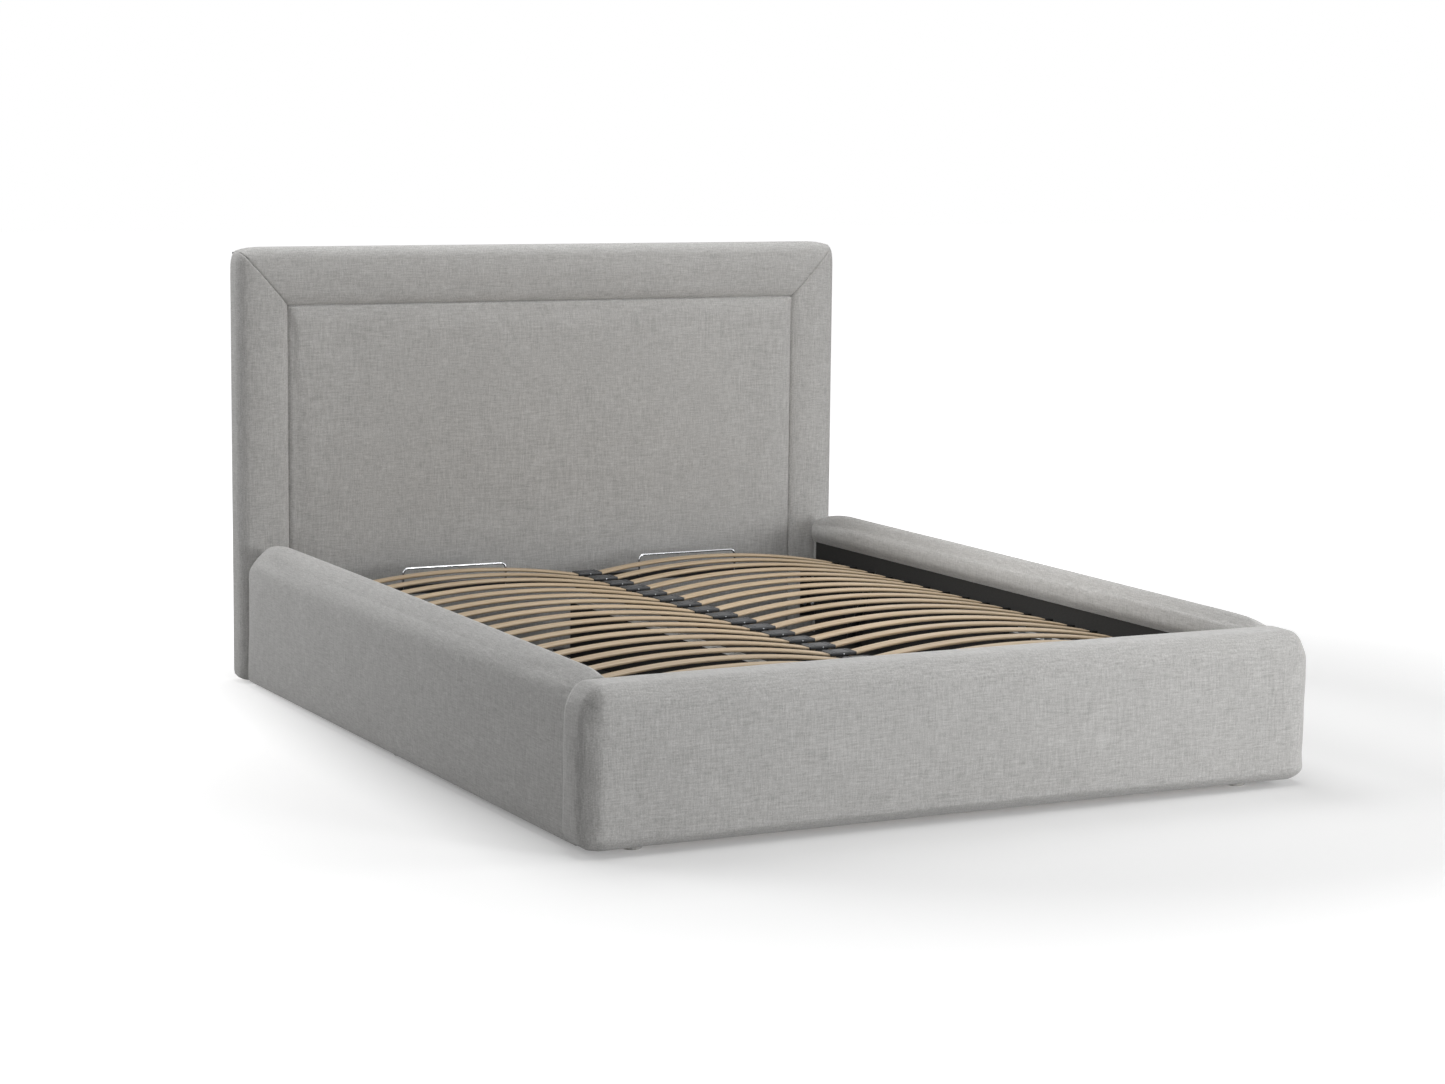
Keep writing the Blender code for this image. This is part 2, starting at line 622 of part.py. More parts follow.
def make_storage(shop):
    """Linings, floor boards, divider and the bearers under them."""
    lining_y = (FOOT_FACE + LINING_SETBACK, HEAD_FACE - LINING_SETBACK)
    for side, sign in SIDES:
        side_box(shop, "lining_" + side, sign, LINING_FACE, LINING_FACE + LINING_THICK,
                 lining_y, (FLOOR_TOP + SEAT_GAP, LINING_TOP), "black_lining")
        side_box(shop, "storage_floor_" + side, sign, DIVIDER_THICK / 2 + SEAT_GAP,
                 INNER_HALF - FLOOR_PLAY, (FOOT_FACE + FLOOR_PLAY, HEAD_FACE - FLOOR_PLAY),
                 (BEARER_TOP + SEAT_GAP, FLOOR_TOP), "black_lining")
    board(shop, "centre_divider",
          (-DIVIDER_THICK / 2, FOOT_FACE + LINING_SETBACK, BEARER_TOP + SEAT_GAP),
          (DIVIDER_THICK / 2, HEAD_TUBE_FRONT - DIVIDER_TUBE_SPACE, DIVIDER_TOP), "black_lining")
    bearer_half = INNER_HALF - FLOOR_PLAY
    glide_x = bearer_half / 2
    for end, place in bearer_places():
        bearer = board(shop, "floor_bearer_" + end,
                       (-bearer_half, place - BEARER_DEPTH / 2, BASE),
                       (bearer_half, place + BEARER_DEPTH / 2, BEARER_TOP), "particle_board")
        add_glides(shop, bearer, ((-glide_x, place), (glide_x, place)), BEARER_HEIGHT / 2)


def bearer_places():
    """Return the name and the y of each bearer under the storage floor."""
    return (("head", HEAD_FACE - BEARER_END_DISTANCE), ("foot", FOOT_FACE + BEARER_END_DISTANCE))


def add_glides(shop, carrier, places, nail):
    """Join glides to the board that carries them: a chamfered disc with its nail."""
    top = BASE + nail
    disc = GLIDE_HEIGHT
    profile = [(0.0, top), (GLIDE_NAIL, top), (GLIDE_NAIL, disc), (GLIDE_RADIUS, disc),
               (GLIDE_RADIUS, GLIDE_EDGE), (GLIDE_RADIUS - GLIDE_EDGE, 0.0), (0.0, 0.0)]
    for count, (x, y) in enumerate(places):
        name = "%s_glide_%d" % (carrier.name, count)
        glide = turned(shop, name, profile, None, (x, y, 0.0), (0.0, 0.0, 0.0), as_tool=True)
        join_or_cut(carrier, glide, "UNION")


def make_brackets(shop):
    """Steel angles in the four corners of the box."""
    top = BRACKET_BOTTOM + BRACKET_HEIGHT
    ends = (("head", HEAD_FACE, -1), ("foot", FOOT_FACE, 1))
    for side, sign in SIDES:
        for end, face, inward in ends:
            wall_x = INNER_HALF - SEAT_GAP
            wall_y = face + inward * SEAT_GAP
            tip_y = wall_y + inward * BRACKET_LEG
            x_lo, x_hi = span(sign, wall_x - BRACKET_LEG, wall_x)
            y_lo, y_hi = sorted((wall_y, tip_y))
            bm = box_mesh((x_lo, y_lo, BRACKET_BOTTOM), (x_hi, y_hi, top))
            angle = shop.add("corner_bracket_%s_%s" % (end, side), bm, "black_steel")
            x_lo, x_hi = span(sign, wall_x - BRACKET_LEG - OVERRUN, wall_x - BRACKET_WALL)
            y_lo, y_hi = sorted((wall_y + inward * BRACKET_WALL, tip_y + inward * OVERRUN))
            join_or_cut(angle, shop.tool("bracket_space_%s_%s" % (end, side), box_mesh(
                (x_lo, y_lo, BRACKET_BOTTOM - OVERRUN), (x_hi, y_hi, top + OVERRUN))))


def make_rests(shop):
    """Zinc shelves on the rails, each with rubber buffers that carry the closed frame."""
    height = TUBE_BOTTOM - SEAT_GAP - REST_TOP + REST_WALL / 2
    tube_x = SIDE_TUBE_OUTER - SIDE_TUBE_WIDTH / 2
    shelf_y = (REST_MIDDLE - REST_LENGTH / 2, REST_MIDDLE + REST_LENGTH / 2)
    for side, sign in SIDES:
        face = LINING_FACE - SEAT_GAP
        x_lo, x_hi = span(sign, SIDE_TUBE_INNER, face)
        bm = box_mesh((x_lo, shelf_y[0], REST_TOP - REST_LEG), (x_hi, shelf_y[1], REST_TOP))
        shelf = shop.add("rest_bracket_" + side, bm, "zinc_steel")
        x_lo, x_hi = span(sign, SIDE_TUBE_INNER - OVERRUN, face - REST_WALL)
        join_or_cut(shelf, shop.tool("rest_space_" + side, box_mesh(
            (x_lo, shelf_y[0] - OVERRUN, REST_TOP - REST_LEG - OVERRUN),
            (x_hi, shelf_y[1] + OVERRUN, REST_TOP - REST_WALL))))
        buffers = bmesh.new()
        for y in (REST_MIDDLE - BUFFER_SPACING / 2, REST_MIDDLE + BUFFER_SPACING / 2):
            rod_mesh(BUFFER_RADIUS, height, buffers,
                     Matrix.Translation((sign * tube_x, y, REST_TOP - REST_WALL / 2)))
        join_or_cut(shelf, shop.tool("rest_buffers_" + side, buffers), "UNION")


def plate_from(shop, name, sign, inner, outer, outline, finish):
    """Make a flat plate from a y-z outline, with its thickness along x."""
    bm = bmesh.new()
    x_lo, x_hi = span(sign, inner, outer)
    face = bm.faces.new([bm.verts.new((x_lo, y, z)) for y, z in outline])
    grown = bmesh.ops.extrude_face_region(bm, geom=[face])
    moved = [item for item in grown["geom"] if isinstance(item, bmesh.types.BMVert)]
    bmesh.ops.translate(bm, verts=moved, vec=(x_hi - x_lo, 0.0, 0.0))
    return shop.add(name, bm, finish)


def make_lift_base(shop):
    """Base plates on the rails, with the hinge pin and the lower stud of the strut."""
    margin = PLATE_MARGIN
    outline = [(HINGE_Y + margin, HINGE_HEIGHT - margin),
               (HINGE_Y + margin, HINGE_HEIGHT + margin / 2),
               (HINGE_Y + margin / 2, HINGE_HEIGHT + margin),
               (HINGE_Y - margin, HINGE_HEIGHT + margin),
               (LOWER_Y - margin, LOWER_Z + margin / 2), (LOWER_Y - margin, FLOOR_TOP + SEAT_GAP),
               (LOWER_Y + margin, FLOOR_TOP + SEAT_GAP)]
    for side, sign in SIDES:
        plate = plate_from(shop, "lift_base_plate_" + side, sign, BASE_PLATE_FACE,
                           BASE_PLATE_FACE + PLATE_WALL, outline, "black_steel")
        face = BASE_PLATE_FACE - SEAT_GAP
        shoulder = HINGE_PLATE_FACE + PIN_PLAY
        through = HINGE_PLATE_FACE - PLATE_WALL - PIN_PLAY
        heights = [face - value for value in (face, shoulder, through)]
        spacer = heights[1]
        nose = heights[2]
        end = nose + PIN_HEAD_HEIGHT
        profile = [(0.0, end), (PIN_HEAD_RADIUS, end), (PIN_HEAD_RADIUS, nose), (PIN_RADIUS, nose),
                   (PIN_RADIUS, spacer), (SPACER_RADIUS, spacer), (SPACER_RADIUS, 0.0), (0.0, 0.0)]
        turn = (0.0, -sign * math.pi / 2, 0.0)
        turned(shop, "hinge_pin_" + side, profile, "zinc_steel",
               (sign * face, HINGE_Y, HINGE_HEIGHT), turn)
        stud = turned(shop, "lower_stud_" + side, stud_profile(BASE_PLATE_FACE - STRUT_X), None,
                      (sign * BASE_PLATE_FACE, LOWER_Y, LOWER_Z), turn, as_tool=True)
        join_or_cut(plate, stud, "UNION")


def stud_profile(distance):
    """Return the profile of a stud that carries a strut eye at a distance from its plate."""
    shoulder = distance - EYE_WIDTH / 2 - PIN_PLAY
    collar = distance + EYE_WIDTH / 2 + PIN_PLAY
    end = collar + STUD_RIM
    wide = STUD_RADIUS + STUD_RIM
    root = -PLATE_WALL / 2
    return [(0.0, end), (wide, end), (wide, collar), (STUD_RADIUS, collar),
            (STUD_RADIUS, shoulder), (wide, shoulder), (wide, root), (0.0, root)]


def make_lift_frame(shop):
    """Tubes of the lifting frame with the hinge plates and the upper studs."""
    tube_z = (TUBE_BOTTOM, TUBE_TOP)
    end_half = SIDE_TUBE_INNER - SEAT_GAP
    for side, sign in SIDES:
        x_lo, x_hi = span(sign, SIDE_TUBE_INNER, SIDE_TUBE_OUTER)
        side_tube = tube(shop, "frame_tube_" + side, (x_lo, FOOT_TUBE_FRONT, tube_z[0]),
                         (x_hi, HEAD_TUBE_BACK, tube_z[1]), 1, "black_steel")
        add_end_holders(shop, side_tube, sign)
    tube(shop, "frame_tube_head", (-end_half, HEAD_TUBE_FRONT, tube_z[0]),
         (end_half, HEAD_TUBE_BACK, tube_z[1]), 0, "black_steel")
    tube(shop, "frame_tube_foot", (-end_half, FOOT_TUBE_FRONT, tube_z[0]),
         (end_half, FOOT_TUBE_BACK, tube_z[1]), 0, "black_steel")
    tube(shop, "frame_tube_centre",
         (-CENTRE_TUBE_WIDTH / 2, FOOT_TUBE_BACK + SEAT_GAP, tube_z[0]),
         (CENTRE_TUBE_WIDTH / 2, HEAD_TUBE_FRONT - SEAT_GAP, tube_z[1]),
         1, "black_steel")
    margin = PLATE_MARGIN
    top = TUBE_TOP - TUBE_WALL
    outline = [(HINGE_Y + margin, HINGE_HEIGHT), (HINGE_Y + margin, top),
               (UPPER_Y - margin, top), (UPPER_Y - margin, UPPER_Z - margin / 2),
               (HINGE_Y - margin, HINGE_HEIGHT - margin / 2),
               (HINGE_Y - margin / 2, HINGE_HEIGHT - PLATE_DROP),
               (HINGE_Y + margin / 2, HINGE_HEIGHT - PLATE_DROP)]
    for side, sign in SIDES:
        inner = HINGE_PLATE_FACE - PLATE_WALL
        plate = plate_from(shop, "hinge_plate_" + side, sign, inner, HINGE_PLATE_FACE, outline,
                           "black_steel")
        turn = (0.0, sign * math.pi / 2, 0.0)
        drill = rod_mesh(PIN_RADIUS + PIN_PLAY, 2 * OVERRUN)
        join_or_cut(plate, shop.tool("hinge_hole_" + side, drill,
                                     (sign * (inner - OVERRUN), HINGE_Y, HINGE_HEIGHT), turn))
        stud = turned(shop, "upper_stud_" + side, stud_profile(STRUT_X - HINGE_PLATE_FACE), None,
                      (sign * HINGE_PLATE_FACE, UPPER_Y, UPPER_Z), turn, as_tool=True)
        join_or_cut(plate, stud, "UNION")


def slat_rise(x):
    """Return how far a slat's middle line stands above its ends: a parabola along x."""
    share = (abs(x) - SLAT_START) / (SLAT_END - SLAT_START)
    return SLAT_CROWN * 4 * share * (1 - share)


def slat_places():
    """Return the y of every slat."""
    return [FIRST_SLAT - SLAT_PITCH * step for step in range(SLATS_PER_COLUMN)]


def make_slat_rows(shop):
    """Rows of two bowed slats and the double holder that grips them over the centre tube."""
    half = SLAT_WIDTH / 2
    low = SLAT_END_TOP - SLAT_THICK
    strips = bmesh.new()
    box_mesh((-SLAT_END, -half, low), (SLAT_END, half, SLAT_END_TOP), strips)
    stops = [SLAT_START + (SLAT_END - SLAT_START) * step / SLAT_STEPS
             for step in range(SLAT_STEPS)]
    for stop in stops:
        for place in (-stop, stop):
            bmesh.ops.bisect_plane(strips, geom=strips.verts[:] + strips.edges[:] + strips.faces[:],
                                   dist=MERGE_DISTANCE, plane_co=(place, 0.0, 0.0),
                                   plane_no=(1.0, 0.0, 0.0))
    for vert in strips.verts:
        vert.co.z += slat_rise(vert.co.x)
    for count, y in enumerate(slat_places()):
        row = shop.add("slat_row_%02d" % (count + 1), strips.copy(), "birch_ply", (0.0, y, 0.0))
        holder_here = shop.tool("double_holder_%02d" % (count + 1), holder_mesh(), (0.0, y, 0.0))
        join_or_cut(row, holder_here, "UNION")
    strips.free()


def holder_mesh():
    """Return the double holder of the centre tube: a block with a chamfered top."""
    bm = box_mesh((-HOLDER_CENTRE_HALF, -HOLDER_WIDTH / 2, HOLDER_BOTTOM),
                  (HOLDER_CENTRE_HALF, HOLDER_WIDTH / 2, HOLDER_TOP))
    rim = [edge for edge in bm.edges if all(vert.co.z > HOLDER_BOTTOM for vert in edge.verts)]
    bmesh.ops.bevel(bm, geom=rim, offset=HOLDER_CHAMFER, segments=1, affect="EDGES")
    return bm


def add_end_holders(shop, carrier, sign):
    """Join the open cradles that carry the outer slat ends to the top of a side tube."""
    floor = TUBE_TOP - TUBE_WALL / 2
    x_lo, x_hi = span(sign, SLAT_END - HOLDER_GRIP, SLAT_END + SEAT_GAP + HOLDER_STOP)
    cut_lo, cut_hi = span(sign, SLAT_END - HOLDER_GRIP - OVERRUN, SLAT_END + SEAT_GAP)
    half = SLAT_WIDTH / 2 + SEAT_GAP
    blocks = bmesh.new()
    spaces = bmesh.new()
    for y in slat_places():
        box_mesh((x_lo, y - HOLDER_WIDTH / 2, floor),
                 (x_hi, y + HOLDER_WIDTH / 2, SLAT_END_TOP), blocks)
        box_mesh((cut_lo, y - half, SLAT_END_TOP - SLAT_THICK - SEAT_GAP),
                 (cut_hi, y + half, SLAT_END_TOP + OVERRUN), spaces)
    join_or_cut(carrier, shop.tool(carrier.name + "_cradles", blocks), "UNION")
    join_or_cut(carrier, shop.tool(carrier.name + "_slat_spaces", spaces))


def stop_points(sign):
    """Return the route of a mattress stop: up, a quarter bend, across, a bend and down."""
    y = HEAD_TUBE_FRONT - SEAT_GAP - STOP_WIRE / 2
    half = STOP_WIDTH / 2
    points = [(sign * STOP_CENTRE - half, y, STOP_BOTTOM)]
    for turn, centre_x in ((-1.0, -half + STOP_BEND), (1.0, half - STOP_BEND)):
        for step in range(STOP_BEND_STEPS + 1):
            angle = math.pi / 2 * step / STOP_BEND_STEPS
            if turn > 0:
                angle = math.pi / 2 - angle
            points.append((sign * STOP_CENTRE + centre_x + turn * STOP_BEND * math.cos(angle), y,
                           STOP_TOP - STOP_WIRE / 2 - STOP_BEND + STOP_BEND * math.sin(angle)))
    points.append((sign * STOP_CENTRE + half, y, STOP_BOTTOM))
    return points


def make_stops(shop):
    """Bent wire stops that stand on the front of the head tube."""
    for side, sign in SIDES:
        name = "mattress_stop_" + side
        curve = bpy.data.curves.new(name, "CURVE")
        curve.dimensions = "3D"
        curve.bevel_depth = STOP_WIRE / 2
        curve.bevel_resolution = 2
        curve.use_fill_caps = True
        points = stop_points(sign)
        spline = curve.splines.new("POLY")
        spline.points.add(len(points) - 1)
        for point, place in zip(spline.points, points):
            point.co = (*place, 1.0)
        obj = bpy.data.objects.new(name, curve)
        shop.parts.objects.link(obj)
        obj.data.materials.append(shop.materials["zinc_steel"])
        obj.parent = shop.axis
        obj.matrix_parent_inverse = Matrix.Translation(shop.axis.location).inverted()


def ring_tool(shop, name, place, sign):
    """Make the eye of a strut: a short tube across the strut, to be joined on."""
    half = EYE_WIDTH / 2
    bore = STUD_RADIUS + PIN_PLAY
    profile = [(bore, -half), (bore, half), (EYE_RADIUS, half), (EYE_RADIUS, -half),
               (bore, -half)]
    return turned(shop, name, profile, None, place, (0.0, sign * math.pi / 2, 0.0), as_tool=True)


def make_cylinder(shop, side, sign):
    """Gas cylinder: a tube closed at its foot, joined to the lower eye."""
    top = CYLINDER_START + CYLINDER_LENGTH
    floor = CYLINDER_START + CYLINDER_BASE
    profile = [(0.0, floor), (CYLINDER_BORE, floor), (CYLINDER_BORE, top), (CYLINDER_RADIUS, top),
               (CYLINDER_RADIUS, CYLINDER_START), (0.0, CYLINDER_START)]
    place = (sign * STRUT_X, LOWER_Y, LOWER_Z)
    body = turned(shop, "gas_cylinder_" + side, profile, "black_steel", place,
                  (STRUT_LEAN, 0.0, 0.0))
    join_or_cut(body, ring_tool(shop, "lower_eye_" + side, place, sign), "UNION")


def make_rod(shop, side, sign):
    """Piston rod that slides in the cylinder, joined to the upper eye."""
    tail = STRUT_LENGTH - ROD_TAIL
    start = EYE_RADIUS - SEAT_GAP - PIN_PLAY
    collar = start + EYE_RADIUS / 2
    profile = [(0.0, -start), (STUD_RADIUS + PIN_PLAY, -start), (STUD_RADIUS + PIN_PLAY, -collar),
               (ROD_RADIUS, -collar), (ROD_RADIUS, PISTON_LENGTH - tail),
               (PISTON_RADIUS, PISTON_LENGTH - tail), (PISTON_RADIUS, -tail), (0.0, -tail)]
    place = (sign * STRUT_X, UPPER_Y, UPPER_Z)
    body = turned(shop, "gas_rod_" + side, profile, "zinc_steel", place, (STRUT_LEAN, 0.0, 0.0))
    join_or_cut(body, ring_tool(shop, "upper_eye_" + side, place, sign), "UNION")


def main():
    """Build the bed: the fixed box first, then the lifting frame and the struts."""
    clear_scene()
    shop = Workshop()
    make_headboard(shop)
    make_rails(shop)
    make_footboard(shop)
    make_storage(shop)
    make_brackets(shop)
    make_rests(shop)
    make_lift_base(shop)
    shop.start_axis("lift_axis", (0.0, HINGE_Y, HINGE_HEIGHT))
    make_lift_frame(shop)
    make_slat_rows(shop)
    make_stops(shop)
    for side, sign in SIDES:
        shop.start_axis("lower_axis_" + side, (sign * STRUT_X, LOWER_Y, LOWER_Z))
        make_cylinder(shop, side, sign)
        shop.start_axis("upper_axis_" + side, (sign * STRUT_X, UPPER_Y, UPPER_Z))
        make_rod(shop, side, sign)
    print("lift angle in degrees: %.1f, strut swing ratio: %.4f"
          % (math.degrees(LIFT_ANGLE), STRUT_SWING_RATIO))


if __name__ == "__main__":
    main()
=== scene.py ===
"""Storage bed with a lifting slatted frame: its visible pieces and finishes.

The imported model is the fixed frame.  The padded covers, the slats and their holders, the
side tubes and the wire stops are made again here with their real shapes, and every piece
gets its finish.  Metres, +Z up, +Y to the headboard, +X to the right side of the bed.
"""

import logging
import math
from dataclasses import dataclass
from enum import Enum
from functools import cache
from typing import Sequence

import bpy
import numpy as np
from mathutils import Matrix


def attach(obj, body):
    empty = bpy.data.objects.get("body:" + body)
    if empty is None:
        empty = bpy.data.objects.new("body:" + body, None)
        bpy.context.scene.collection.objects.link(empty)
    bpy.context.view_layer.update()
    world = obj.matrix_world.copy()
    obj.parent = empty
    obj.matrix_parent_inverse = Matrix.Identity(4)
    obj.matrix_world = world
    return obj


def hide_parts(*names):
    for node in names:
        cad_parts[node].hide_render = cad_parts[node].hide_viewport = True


LOG = logging.getLogger("storage_bed")
BED_BODY = "bed_box"
FRAME_BODY = "lift_frame"

CLOTH_FRAMES = 20
CLOTH_CAP = 0.004                    # the largest move of a pad's point in metres
CLOTH = {"vertex_group_mass": "held", "quality": 4, "mass": 0.5, "tension_stiffness": 30,
         "compression_stiffness": 30, "shear_stiffness": 15, "bending_stiffness": 3,
         "use_pressure": True, "uniform_pressure_force": 2.0}

Array = np.ndarray
Triple = tuple[float, float, float]
Tree = bpy.types.NodeTree
Socket = bpy.types.NodeSocket


class Side(Enum):
    """The two long sides of the bed, with the sign of their x."""

    LEFT = -1
    RIGHT = 1

    @property
    def label(self) -> str:
        """Return the side's word in the names of pieces."""
        return self.name.lower()


class Border(Enum):
    """The three padded borders of the headboard."""

    LEFT = "left"
    TOP = "top"
    RIGHT = "right"


# Surfaces


@dataclass
class Surface:
    """Points, faces and cloth coordinates of a piece that isn't an object yet.

    faces is a list of whole-number arrays, and each array holds faces of one corner count.
    uv holds coordinates on the material in metres, and tone one shade number for each point.
    """

    points: Array
    faces: list[Array]
    uv: Array | None = None
    tone: Array | None = None

    def moved(self, offset: Array) -> "Surface":
        """Return a copy that is shifted by offset."""
        return Surface(self.points + offset, self.faces, self.uv, self.tone)

    def mirrored(self) -> "Surface":
        """Return the mirror image across x = 0, with its faces turned to point outwards."""
        flipped = self.points * np.array([-1.0, 1.0, 1.0])
        return Surface(flipped, [block[:, ::-1] for block in self.faces], self.uv, self.tone)

    def outward(self) -> "Surface":
        """Turn the faces of a closed surface so that they point outwards.

        The volume is the sum over the faces' triangles of p0 . (p1 x p2) / 6.  Where it is
        below zero, every face is turned round.

        Returns:
            The surface itself.
        """
        volume = 0.0
        for block in self.faces:
            first = self.points[block[:, 0]]
            for corner in range(1, block.shape[1] - 1):
                wedge = np.cross(self.points[block[:, corner]], self.points[block[:, corner + 1]])
                volume += float((first * wedge).sum())
        if volume < 0:
            self.faces = [block[:, ::-1] for block in self.faces]
        return self


def joined(parts: Sequence[Surface]) -> Surface:
    """Put several surfaces together as one.

    Args:
        parts: surfaces that either all have uv and tone, or all lack them.

    Returns:
        One surface with the points and faces of all of them.
    """
    faces: list[Array] = []
    start = 0
    for part in parts:
        faces += [block + start for block in part.faces]
        start += len(part.points)
    uv = None if parts[0].uv is None else np.concatenate([part.uv for part in parts])
    tone = None if parts[0].tone is None else np.concatenate([part.tone for part in parts])
    return Surface(np.concatenate([part.points for part in parts]), faces, uv, tone)


def repeated(part: Surface, offsets: Array) -> Surface:
    """Copy a surface to every offset: point + offset, for all pairs at once.

    Args:
        part: the surface to be copied.
        offsets: one row of x, y, z for each copy.

    Returns:
        One surface with all the copies.
    """
    count = len(part.points)
    points = (offsets[:, None, :] + part.points[None, :, :]).reshape(-1, 3)
    steps = (np.arange(len(offsets)) * count)[:, None, None]
    faces = [(block[None] + steps).reshape(-1, block.shape[1]) for block in part.faces]
    return Surface(points, faces)


def grid_quads(rows: int, columns: int) -> Array:
    """Return the quads between closed loops: each joins (r, c) to (r + 1, c + 1).

    Args:
        rows: the number of loops.
        columns: the number of points in each.

    Returns:
        One row of four point numbers for each quad.
    """
    row, column = np.meshgrid(np.arange(rows - 1), np.arange(columns), indexing="ij")
    after = (column + 1) % columns
    corners = [row * columns + column, row * columns + after,
               (row + 1) * columns + after, (row + 1) * columns + column]
    return np.stack([corner.ravel() for corner in corners], axis=1)


def lofted(sections: Array) -> Surface:
    """Skin a row of closed loops and close both ends.

    The surface is P(s, t), where s walks along the sections and t round each loop.

    Args:
        sections: an array of loops x points x 3.

    Returns:
        The closed surface, facing outwards.
    """
    rows, columns, _ = sections.shape
    caps = np.stack([np.arange(columns)[::-1], np.arange(columns) + (rows - 1) * columns])
    return Surface(sections.reshape(-1, 3), [grid_quads(rows, columns), caps]).outward()


def rounded_loop(width: float, height: float, radius: float, steps: int) -> Array:
    """Return a rounded rectangle about zero: four quarter circles joined by straight sides.

    A point is the centre of its corner's round plus radius * (cos t, sin t).

    Args:
        width: size along the first axis.
        height: size along the second axis.
        radius: corner radius.
        steps: divisions of each quarter circle.

    Returns:
        An array of points x 2, anticlockwise.
    """
    quarter = np.linspace(0.0, math.pi / 2, steps + 1)
    angle = (np.arange(4)[:, None] * math.pi / 2 + quarter).ravel()
    signs = np.repeat([(1, 1), (-1, 1), (-1, -1), (1, -1)], steps + 1, axis=0)
    centres = signs * (np.array([width, height]) / 2 - radius)
    return centres + radius * np.stack([np.cos(angle), np.sin(angle)], axis=1)


def ratio(top: Array, bottom: Array, empty: float = 0.0) -> Array:
    """Divide point by point: top / bottom, and empty where the bottom is zero.

    Args:
        top: the numbers above the line.
        bottom: the numbers below it, none of them negative.
        empty: what a zero below the line gives.

    Returns:
        The quotients.
    """
    top, bottom = np.broadcast_arrays(top, bottom)
    return np.divide(top, bottom, out=np.full(top.shape, empty), where=bottom > 0)


def turned(profile: Sequence[tuple[float, float]], place: Triple, axis: Triple,
           steps: int = 20) -> Surface:
    """Turn a profile round an axis: P(t) = place + h * axis + r * (cos t * u + sin t * w).

    Args:
        profile: pairs of radius r and height h along the axis; no radius is zero.
        place: the point where h is zero.
        axis: direction of the axis, of length one.
        steps: points round the axis.

    Returns:
        The closed surface.
    """
    along = np.array(axis, float)
    helper = np.array([0.0, 0.0, 1.0]) if abs(along[2]) < 0.9 else np.array([1.0, 0.0, 0.0])
    first = np.cross(along, helper)
    first /= np.linalg.norm(first)
    second = np.cross(along, first)
    angle = np.linspace(0.0, 2 * math.pi, steps, endpoint=False)
    ring = np.cos(angle)[:, None] * first + np.sin(angle)[:, None] * second
    radius, height = np.array(profile, float).T
    sections = (np.array(place) + height[:, None, None] * along
                + radius[:, None, None] * ring[None])
    return lofted(sections)


def cut_lines(lo: float, hi: float, round_lo: float, round_hi: float, fillet: float,
              arcs: int, flats: int, extra: Sequence[float]) -> Array:
    """Return where a block is cut along one axis.

    In a round the cuts stand at round * (1 - tan(angle)), so that they divide the arc
    evenly, and between the rounds they are evenly spaced.  The fillet gets cuts of its own,
    and a cut that stands very close to the one before it is left out.

    Args:
        lo: the block's lower end.
        hi: its upper end.
        round_lo: the round at the lower end.
        round_hi: the round at the upper end.
        fillet: the round of the edges that cross this axis.
        arcs: divisions of each round.
        flats: divisions between the rounds.
        extra: places of more cuts.

    Returns:
        The places of the cuts, from lo to hi.
    """
    arc = np.tan(math.pi / 4 * np.arange(arcs + 1) / arcs)
    soft_lo, soft_hi = min(fillet, round_lo), min(fillet, round_hi)
    cuts = [lo + round_lo * (1 - arc), hi - round_hi * (1 - arc),
            lo + soft_lo * (1 - arc), hi - soft_hi * (1 - arc),
            np.linspace(lo + round_lo, hi - round_hi, flats + 1), np.array(extra)]
    lines = np.unique(np.round(np.concatenate(cuts), 6))
    rounds = [size for size in (round_lo, round_hi, soft_lo, soft_hi) if size > 0]
    gap = min(rounds) / 10 if rounds else 0.0
    return lines[np.concatenate([[True], np.diff(lines) > gap])]


def block_lattice(counts: Sequence[int]) -> tuple[Array, Array]:
    """Cut the six sides of a block into quads that share their corners.

    Args:
        counts: the number of cells along each axis.

    Returns:
        The whole-number places of the points, and the quads, facing outwards.
    """
    blocks = []
    for axis in range(3):
        first, second = (axis + 1) % 3, (axis + 2) % 3
        i, j = np.meshgrid(np.arange(counts[first]), np.arange(counts[second]), indexing="ij")
        for end in (0, counts[axis]):
            corners = np.zeros((4, i.size, 3), int)
            for number, (di, dj) in enumerate(((0, 0), (1, 0), (1, 1), (0, 1))):
                corners[number, :, first] = i.ravel() + di
                corners[number, :, second] = j.ravel() + dj
                corners[number, :, axis] = end
            blocks.append((corners if end else corners[::-1]).transpose(1, 0, 2))
    every = np.concatenate(blocks).reshape(-1, 3)
    keys, index = np.unique(every, axis=0, return_inverse=True)
    return keys, index.reshape(-1, 4)


